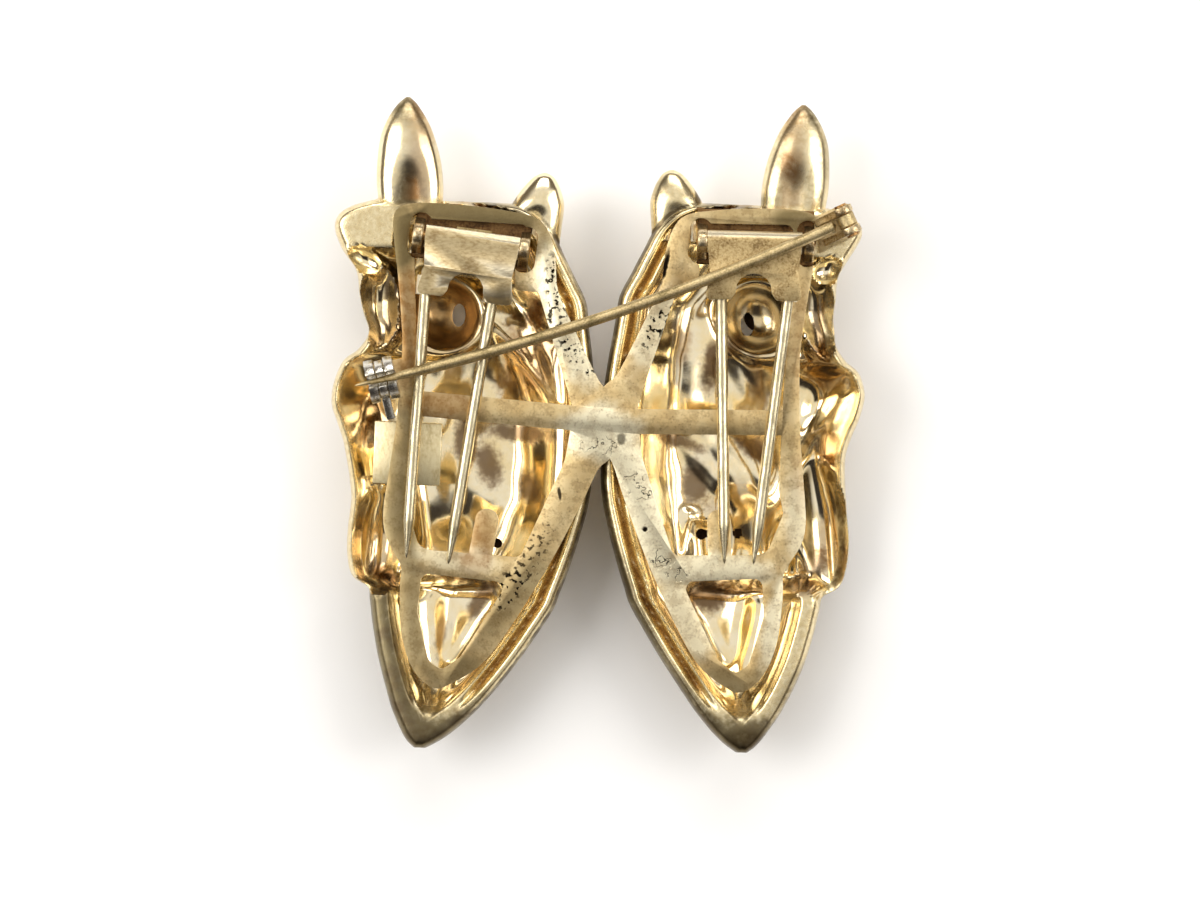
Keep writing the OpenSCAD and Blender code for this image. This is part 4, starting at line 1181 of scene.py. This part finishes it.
def drill(side, table):
    """Oval rods that cut the holes of a head."""
    sign, n, rods = SIGN[side], 32, []
    for a, b, half_x, half_y, end in table:
        ring = [(sign * across(a) + half_x * math.cos(t), along(b) + sign * SHIFT
                 + half_y * math.sin(t)) for t in np.arange(n) * 2 * math.pi / n]
        points = [(x, y, z) for z in (end, RIM_Z) for x, y in ring]
        caps = [tuple(range(n)), tuple(range(n, 2 * n))]
        rods.append(outward(mesh_piece("rod", points, ring_faces(n, 2) + caps)))
    return merge("rods", rods)


print("holes:", {side: len(rows) for side, rows in HOLES.items()})

# %% [markdown]
# ## Masks on a finished head
#
# After the cuts, every point of the mesh gets the numbers that the finish reads. They come from
# its place alone: how far it is from the edges, whether it lies in a groove between two bands,
# where shade is painted, in the eye's bowl, or where tarnish and painted shade darken it. Masks
# painted by hand would have to be painted again after each change of a size.

# %% Head masks
def places_on_head(piece, side):
    """Shares of the width and of the length, and height in mm, of every point of a head."""
    sign = SIGN[side]
    co = np.zeros(len(piece.data.vertices) * 3, np.float32)
    piece.data.vertices.foreach_get("co", co)
    x, y, z = co.reshape(-1, 3).T / MM
    s = (y - sign * SHIFT - LOW) / HEAD_LEN
    return (sign * x - GAP) / HEAD_W / swayed(side, 1.0, s), s, z


def on_ears(w, s):
    """1 above the head's upper edge, and 1 on the small ear."""
    return ease(s, 1.0, 1.012), ease(w, 0.42, 0.38) * ease(s, 0.93, 0.97)


def bowl_mask(left, w, s):
    """The eye's bowl, which is the first of the dishes."""
    u, v = turned(*DISHES[0][1:3], w, s, 0)
    return ease(np.hypot(u, v), 3.5, 3.2) * (0.4 + 0.6 * left)


def satin_mask(left, w, s, bowl):
    """Brushed: the rims, the bands of the tip and the lug, but neither bowl nor bright ears."""
    inner, outer, top = edge_distances(w, np.clip(s, 0, 1))
    rim = np.maximum.reduce([ease(inner, 2.7, 2.0), ease(outer, 1.0, 0.7),
                             ease(outer, 2.5, 2.1) * ease(s, 0.31, 0.27), ease(top, 2.7, 2.1),
                             ease(s, 0.995, 1.0), ease(s, 0.10, 0.07)])
    shine = np.maximum(*on_ears(w, s)) * (0.25 + 0.4 * left) * ease(s, 1.16, 1.10)
    return np.maximum(rim, lug_share(w, s)) * (1 - 0.7 * bowl) * (1 - shine)


def crease_shade_mask(w, s):
    """The groove between the two moulded bands beside the inner edge, where shade is painted."""
    inner = edge_distances(w, np.clip(s, 0, 1))[0]
    band = read(INNER_BANDS, inner, 1) * ease(s, 0.06, 0.13)
    return ease(band, 0.45, 1.0) * ease(inner, 3.2, 2.6)


def tarnish_and_shade_mask(left, w, s, z):
    """Tarnish on the tip, its outer band and the ears; painted shade below the rim and at the
    inner edge.
    """
    inner, outer, _ = edge_distances(w, np.clip(s, 0, 1))
    # painted shade on the lower sides of the rim
    under = ease(z, 6.0, 4.5) * ease(np.minimum(inner, outer), 1.2, 0.6)
    # painted shade on the wall and the rounded rim at the inner edge, between the heads
    past = (w - read(HEAD_EDGE, np.clip(s, 0, 1), 1)) * HEAD_W
    edge = ease(past, 0.5 + (1 - left) * 0.6 * ease(s, 0.62, 0.52), 0.1) * ease(past, -0.4, -0.15)
    dark_low = ease(outer, 2.3, 1.7) * ease(s, 0.30, 0.26) * (0.35 + 0.65 * left)
    on_ear, on_small = on_ears(w, s)
    # a dark patch at the left ear's foot, painted as its dark reflection; the rest of the ears'
    # marks are tarnish
    foot = np.exp(-((w - 0.735) / 0.050) ** 2 - ((s - 1.010) / 0.042) ** 2) * left * 1.2
    smear = np.exp(-((w - 0.69 + (s - 1.070) * 0.9) / 0.06) ** 2 - ((s - 1.070) / 0.045) ** 2)
    ear_soil_and_dark_reflection = np.maximum.reduce([foot, 0.8 * smear * (1 - left), 0.7 * ease(s, 1.12, 1.17),
                                  (0.18 + 0.2 * (1 - left)) * on_ear,
                                  (0.05 + 0.28 * (1 - left)) * on_small])
    return np.maximum.reduce([edge * (0.9 - 0.2 * left), under * 0.7, dark_low, ear_soil_and_dark_reflection,
                              ease(s, 0.11, 0.03) * 0.95])


def head_masks(piece, side):
    """Writes the four masks on a head. left is 1 on the left head and 0 on the right one."""
    w, s, z = places_on_head(piece, side)
    left = float(side == "left")
    bowl = bowl_mask(left, w, s)
    satin = satin_mask(left, w, s, bowl)
    fields = (satin, crease_shade_mask(w, s), bowl, tarnish_and_shade_mask(left, w, s, z))
    for name, values in zip(HEAD_MASKS, fields):
        attribute = piece.data.attributes.new(name, "FLOAT", "POINT")
        attribute.data.foreach_set("value", np.clip(values, 0, 1).astype(np.float32))
    print(piece.name, "is satin on", round(100 * float(np.mean(satin))), "% of its points")


# %% [markdown]
# ## Putting the heads together
#
# The ears are cast with the wall, and the bracket and the tag plate are soldered on. Here all of
# them become one closed skin before the holes are drilled, so that no light leaks through a
# seam. One skin needs its finishes told apart by place: each face is polished gilding, bracket,
# plate, the bracket's base painted dark as the frame's shadow, or a blind hole painted dark as
# shade, depending on where its middle lies.

# %% Both heads
def dress_by_place(piece, finishes, choose):
    """Gives each face the finish that choose picks from the middle of the face in mm."""
    wear(piece.data, *finishes)
    middles = np.zeros(len(piece.data.polygons) * 3, np.float32)
    piece.data.polygons.foreach_get("center", middles)
    picks = choose(*(middles.reshape(-1, 3).T / MM))
    piece.data.polygons.foreach_set("material_index", picks.astype(np.int32))
    piece.data.update()


def make_head(side):
    wall = cast_wall(side)
    shapes = [ear(*one) for one in ears(side)]
    sign = SIGN[side]
    move = Matrix.Translation((0, sign * SHIFT * MM, 0)) @ Matrix.Diagonal((sign, 1, 1, 1))
    for piece in [wall] + shapes:
        piece.data.transform(move)
        outward(piece)
    for tool in shapes + bracket(side) + (tag_plate() if side == "left" else []):
        cut(wall, tool, "UNION")
    cut(wall, drill(side, HOLES[side]), "DIFFERENCE")
    wall.name = side + "_head_cast"
    head_masks(wall, side)

    to_clip = clip_matrix(side).inverted()

    def choose(x, y, z):
        """The finish's number: 0 cast, 1 bracket, 2 tag plate, 3 base in painted shadow, 4 hole in
        painted shade.
        """
        standing = z > RIM_Z + 0.03
        clip_x = to_clip[0][0] * x + to_clip[0][1] * y + to_clip[0][3]
        clip_y = to_clip[1][0] * x + to_clip[1][1] * y + to_clip[1][3]
        base = ((np.abs(clip_x) < TAB_X + 0.6) & (clip_y > BASE_LOW - 0.1)
                & (clip_y < BASE_HIGH + 0.1) & (z > RIM_Z - 0.2))
        on_tag = ((np.abs(x - TAG_X) < TAG_HALF_X * 1.008)
                  & (np.abs(y - TAG_Y) < TAG_HALF_Y * 1.008))
        on_tag = on_tag & (z > RIM_Z - 1.15) & (side == "left")
        pick = np.where(on_tag, 2, np.where(standing, 1, np.where(base, 3, 0)))
        for a, b, half_x, half_y, end in HOLES[side]:
            u = (x - sign * across(a)) / half_x
            v = (y - along(b) - sign * SHIFT) / half_y
            pick = np.where((np.hypot(u, v) < 1.03) & (end > 0), 4, pick)
        return pick

    # the last two are the bracket's base painted dark as the frame's shadow and the blind holes
    # painted dark as shade
    small = ("bracket_silver", "tag_gilt", "soldered_base", "bore_dark")
    dress_by_place(wall, [cast_gilt] + [small_finish[name] for name in small], choose)
    smooth(wall, 50)
    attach(wall, "brooch")
    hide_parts(side + "_head")
    print(wall.name, len(wall.data.polygons), "faces")


for side in SIDES:
    make_head(side)

# %% [markdown]
# ## Sheet work with soft edges
#
# The frame, the lever plates and the catch ring already have their true outlines in the
# measured model. Sheet metal never has a razor edge, though: filing and wear round it, and the
# rounded edge catches the light as a thin bright line. So a copy of each is merged into one
# skin, its flat faces are joined, and its sharp edges are bevelled by about a tenth of a
# millimetre. A sheet modelled anew would only risk a different outline.

# %% Copies with soft edges
def soft_copy(node, name, width, angle=35):
    bm = bmesh.new()
    bm.from_mesh(frame["nodes"][node].data)
    bmesh.ops.remove_doubles(bm, verts=bm.verts, dist=0.002 * MM)
    bmesh.ops.dissolve_limit(bm, angle_limit=math.radians(0.6), verts=bm.verts, edges=bm.edges)
    bmesh.ops.recalc_face_normals(bm, faces=bm.faces)
    piece = soften(bm_piece(name, bm), width, angle, "MITER_ARC")
    smooth(piece)
    print(name, len(piece.data.polygons), "faces")
    return piece


def seat(piece, body, node):
    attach(piece, body)
    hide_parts(node)


SHEET_TOP = RIM_Z + 1.0
# how far from their axes the catch's cheeks and the ears of the pin joint reach, in mm
CATCH_REACH, HINGE_REACH = 5, 6
spots = {joint["name"]: Vector(joint["pos_m"]) / MM for joint in frame["joints"]}
catch_spot, hinge_spot = spots["catch_turn"], spots["pin_hinge"]


def frame_finish(x, y, z):
    """0 on the sheet, 1 on the catch's cheeks, 2 on the ears of the pin joint."""
    above = z > SHEET_TOP + 0.08
    by_catch = np.hypot(x - catch_spot.x, y - catch_spot.y) < CATCH_REACH
    by_hinge = np.hypot(x - hinge_spot.x, y - hinge_spot.y) < HINGE_REACH
    return np.where(above & by_catch, 1, np.where(above & by_hinge, 2, 0))


frame_sheet = soft_copy("frame", "frame_sheet", 0.16)
dress_by_place(frame_sheet, [sheet_gilt, small_finish["catch_silver"],
                             small_finish["bracket_silver"]], frame_finish)
seat(frame_sheet, "brooch", "frame")

for side in SIDES:
    lever = soft_copy(side + "_lever", side + "_lever_plate", 0.07, angle=40)
    wear(lever.data, small_finish[side + "_plate_gilt"])
    seat(lever, side + "_clip", side + "_lever")

ring = soft_copy("catch_ring", "catch_ring_turned", 0.08)
wear(ring.data, small_finish["catch_silver"])
seat(ring, "catch", "catch_ring")

# %% [markdown]
# ## Drawn wire
#
# The prongs, the brooch pin and the hinge rods are all drawn wire: a round section that follows
# a path, sometimes sharpened at an end. One Geometry Nodes tree makes them all from a line of
# points. It is told the wire's radius, how long its sharpened ends are, whether both ends are
# sharpened, and how far a blunt end is domed.

# %% The wire tree
def grow_wire_tree():
    tree = bpy.data.node_groups.new("drawn_wire", "GeometryNodeTree")
    face = tree.interface
    face.new_socket("Path", in_out="INPUT", socket_type="NodeSocketGeometry")
    for name, value in (("Radius", 0.5), ("Taper", 3.6), ("Point", 0.1), ("Both ends", 1.0),
                        ("Dome", 0.1), ("Step", 0.3)):
        socket = face.new_socket(name, in_out="INPUT", socket_type="NodeSocketFloat")
        socket.default_value = value
    face.new_socket("Finish", in_out="INPUT", socket_type="NodeSocketMaterial")
    face.new_socket("Wire", in_out="OUTPUT", socket_type="NodeSocketGeometry")
    source = tree.nodes.new("NodeGroupInput")
    given = {s.name: Tap(s) for s in source.outputs if s.name}

    curve = Tap.node(tree, "GeometryNodeMeshToCurve", {}, {"Mesh": given["Path"]})
    curve = Tap.node(tree, "GeometryNodeResampleCurve", {"mode": "LENGTH"},
                     {"Curve": curve, "Length": given["Step"] * MM})
    along_wire = Tap.node(tree, "GeometryNodeSplineParameter", out="Length") / MM
    whole = Tap.node(tree, "GeometryNodeSplineLength", out="Length") / MM
    from_start = along_wire + (1 - given["Both ends"]) * FAR
    from_end = from_start.least(whole - along_wire).most(0)
    sharp = given["Point"] + (given["Radius"] - given["Point"]) * (
        (from_end / given["Taper"]).least(1) ** 0.85)
    inset = 1 - (from_start.least(along_wire).least(whole - along_wire) / given["Dome"]).least(1)
    round_off = (1 - inset ** 2).most(0.02) ** 0.5
    circle = Tap.node(tree, "GeometryNodeCurvePrimitiveCircle", {"mode": "RADIUS"},
                      {"Resolution": 28, "Radius": 1.0 * MM}, out="Curve")
    wire = Tap.node(tree, "GeometryNodeCurveToMesh", {},
                    {"Curve": curve, "Profile Curve": circle, "Scale": sharp * round_off,
                     "Fill Caps": True})
    wire = Tap.node(tree, "GeometryNodeRealizeInstances", {}, {"Geometry": wire})
    wire = Tap.node(tree, "GeometryNodeSetMaterial", {},
                    {"Geometry": wire, "Material": given["Finish"]})
    sink = tree.nodes.new("NodeGroupOutput")
    tree.links.new(wire.socket, sink.inputs[0])
    return tree


wire_tree = grow_wire_tree()
print("wire tree of", len(wire_tree.nodes), "nodes")

# %% [markdown]
# ## Drawing one wire
#
# A wire starts as a bare line of points with the tree as its modifier. A curve with a bevel
# could give the tube as well, but not the dome and the sharpened end. The modifier is settled
# into a plain mesh at once, which can be merged and exported like any other piece.

# %% Drawing one wire
def draw_wire(name, path, finish, **sizes):
    """A wire along a path of points in mm, with the tree's other sizes by name."""
    mesh = bpy.data.meshes.new(name)
    links = [(i, i + 1) for i in range(len(path) - 1)]
    mesh.from_pydata([Vector(p) * MM for p in path], links, [])
    piece = linked(name, mesh)
    modifier = piece.modifiers.new("wire", "NODES")
    modifier.node_group = wire_tree
    names = {item.name: item.identifier for item in wire_tree.interface.items_tree
             if item.in_out == "INPUT"}
    modifier[names["Finish"]] = small_finish[finish]
    for key, value in sizes.items():
        modifier[names[key.replace("_", " ")]] = float(value)
    settle(piece)
    outward(piece)
    smooth(piece)
    print(name, "of wire", round(2 * sizes["Radius"], 2), "mm thick,", len(piece.data.polygons),
          "faces")
    return piece


# %% [markdown]
# ## Prongs
#
# The two prongs of a clip are one wire, bent twice under the lever plate. Their ends are
# sharpened so that they slip between the threads of a cloth. The path is straight pieces with
# short elbows, as pliers bend a wire. A smooth curve through the same points would sag.

# %% Prongs
# offset of the feet, offset of the tips, distance between the tips
PRONG_PLACES = {"left": (-0.45, 0.0, 3.8), "right": (0.0, -0.85, 2.6)}
PRONG_R = 0.525
PRONG_GAP = 6.0
PLATE_LEN = 5.2
PRONG_LEN = 23.7
CROSS_BAR = 2.66


def prong_path(side):
    foot_off, tip_off, tip_gap = PRONG_PLACES[side]
    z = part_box(side + "_prongs")[0].z / MM + PRONG_R
    ends = []
    for k in (-1, 1):
        foot = Vector((foot_off + k * PRONG_GAP / 2, -PLATE_LEN, z))
        tip = Vector((tip_off + k * tip_gap / 2, -PLATE_LEN - PRONG_LEN, z))
        bend = foot - (tip - foot).normalized() * (PLATE_LEN - CROSS_BAR)
        ends.append((tip, bend))
    (tip_a, bend_a), (tip_b, bend_b) = ends
    elbow = 0.45
    line = [tip_a]
    for bend, before, after in ((bend_a, tip_a, bend_b), (bend_b, bend_a, tip_b)):
        a = bend + (before - bend).normalized() * elbow
        b = bend + (after - bend).normalized() * elbow
        line += [a + (bend - a) * t * (1 - t) * 1.2 + (b - a) * t for t in (0, 0.25, 0.5, 0.75, 1)]
    line.append(tip_b)
    return [clip_matrix(side) @ p for p in line]


for side in SIDES:
    prongs = draw_wire(side + "_prong_wire", prong_path(side), "wire_silver", Radius=PRONG_R,
                       Taper=3.4, Point=0.10, Both_ends=1, Dome=0.12, Step=0.25)
    seat(prongs, side + "_clip", side + "_prongs")

# %% [markdown]
# ## Brooch pin
#
# The pin springs slightly: it is an arc, from the joint at the upper right to its point in the
# catch. Its eye is a short tube that the rivet passes through. The arc is worked out from the
# two ends of the pin and how far it bows.

# %% Pin stem
PIN_LEN = 46.4
PIN_BOW = 1.25
PIN_SLANT = 20.9
PIN_R = 0.51


def pin_arc(count=90):
    """Points of the pin's axis from the hinge to the point."""
    half = 2 * math.atan(2 * PIN_BOW / PIN_LEN)
    radius = PIN_LEN / (2 * math.sin(half))
    first = math.pi + math.radians(PIN_SLANT) + half
    centre = hinge_spot + radius * Vector((math.sin(first), -math.cos(first), 0))
    turns = [first - 2 * half * i / count for i in range(count + 1)]
    return [centre + radius * Vector((-math.sin(t), math.cos(t), 0)) for t in turns], first


def pin_eye(direction):
    """The tube at the hinge, its axis square to the pin."""
    outer, bore, half, chamfer, n = 0.84, 0.39, 0.56, 0.08, 40
    side = Vector((-math.sin(direction), math.cos(direction), 0))
    flat = Vector((math.cos(direction), math.sin(direction), 0))
    rings = []
    for r, h in ((bore, -half), (outer - chamfer, -half), (outer, -half + chamfer),
                 (outer, half - chamfer), (outer - chamfer, half), (bore, half)):
        rings += [hinge_spot + side * h + (flat * math.cos(a) + Vector((0, 0, math.sin(a)))) * r
                  for a in np.arange(n) * 2 * math.pi / n]
    faces = ring_faces(n, 6) + [(5 * n + k, 5 * n + (k + 1) % n, (k + 1) % n, k) for k in range(n)]
    return outward(mesh_piece("pin_eye", rings, faces))


arc, first_turn = pin_arc()
eye = pin_eye(first_turn)
stem = draw_wire("stem", arc[2:], "pin_wire", Radius=PIN_R, Taper=7, Point=0.08, Both_ends=0,
                 Dome=0.05, Step=0.3)
pin = merge("pin_stem_wire", [stem, eye])
wear(pin.data, small_finish["pin_wire"])
smooth(pin)
seat(pin, "pin", "pin_stem")

# %% [markdown]
# ## Rods and rivet
#
# The hinge rods of the clips and the rivet of the pin joint are short straight wires whose ends
# were tapped into low domes. The hinge rods reach a little past the tabs that hold them, and
# plain cylinders would show flat ends there, which catch the light as white discs. The rivet
# and the leaf springs are hardly seen, so they stay the measured ones, in their finishes.

# %% Rods and rivet
for side in SIDES:
    reach = TAB_X + TAB_T / 2 + 0.15
    ends = [clip_matrix(side) @ Vector((k * reach, 0, ROD_Z)) for k in (-1, 1)]
    rod = draw_wire(side + "_rod_wire", ends, "rod_brass", Radius=ROD_R, Taper=0.01,
                    Point=ROD_R, Both_ends=1, Dome=0.3, Step=0.06)
    seat(rod, "brooch", side + "_hinge_rod")

for node, finish in (("left_spring", "spring_gilt"), ("right_spring", "spring_gilt"),
                     ("pin_rivet", "rod_brass")):
    wear(frame["nodes"][node].data, small_finish[finish])

# %% [markdown]
# ## The table
#
# A sheet of white paper, with only the faintest tooth, catches the soft shadow under and
# between the heads. One square is enough, far larger than the picture. It isn't a piece of the
# brooch.

# %% Floor
def make_floor():
    material, tree = start_finish("paper")
    cloud = grain(tree, 40, 101.0, detail=2)
    colour = blend(cloud, tint(255, 254, 253), tint(252, 252, 252))
    end_finish(tree, colour, 0.8, grain(tree, 0.6, 102.0), 0.01, metallic=0.0)
    size = 900
    floor = mesh_piece("floor", [(-size, -size, 0), (size, -size, 0), (size, size, 0),
                                 (-size, size, 0)], [(0, 1, 2, 3)])
    wear(floor.data, material)
    print("paper of", 2 * size, "mm to a side")


make_floor()
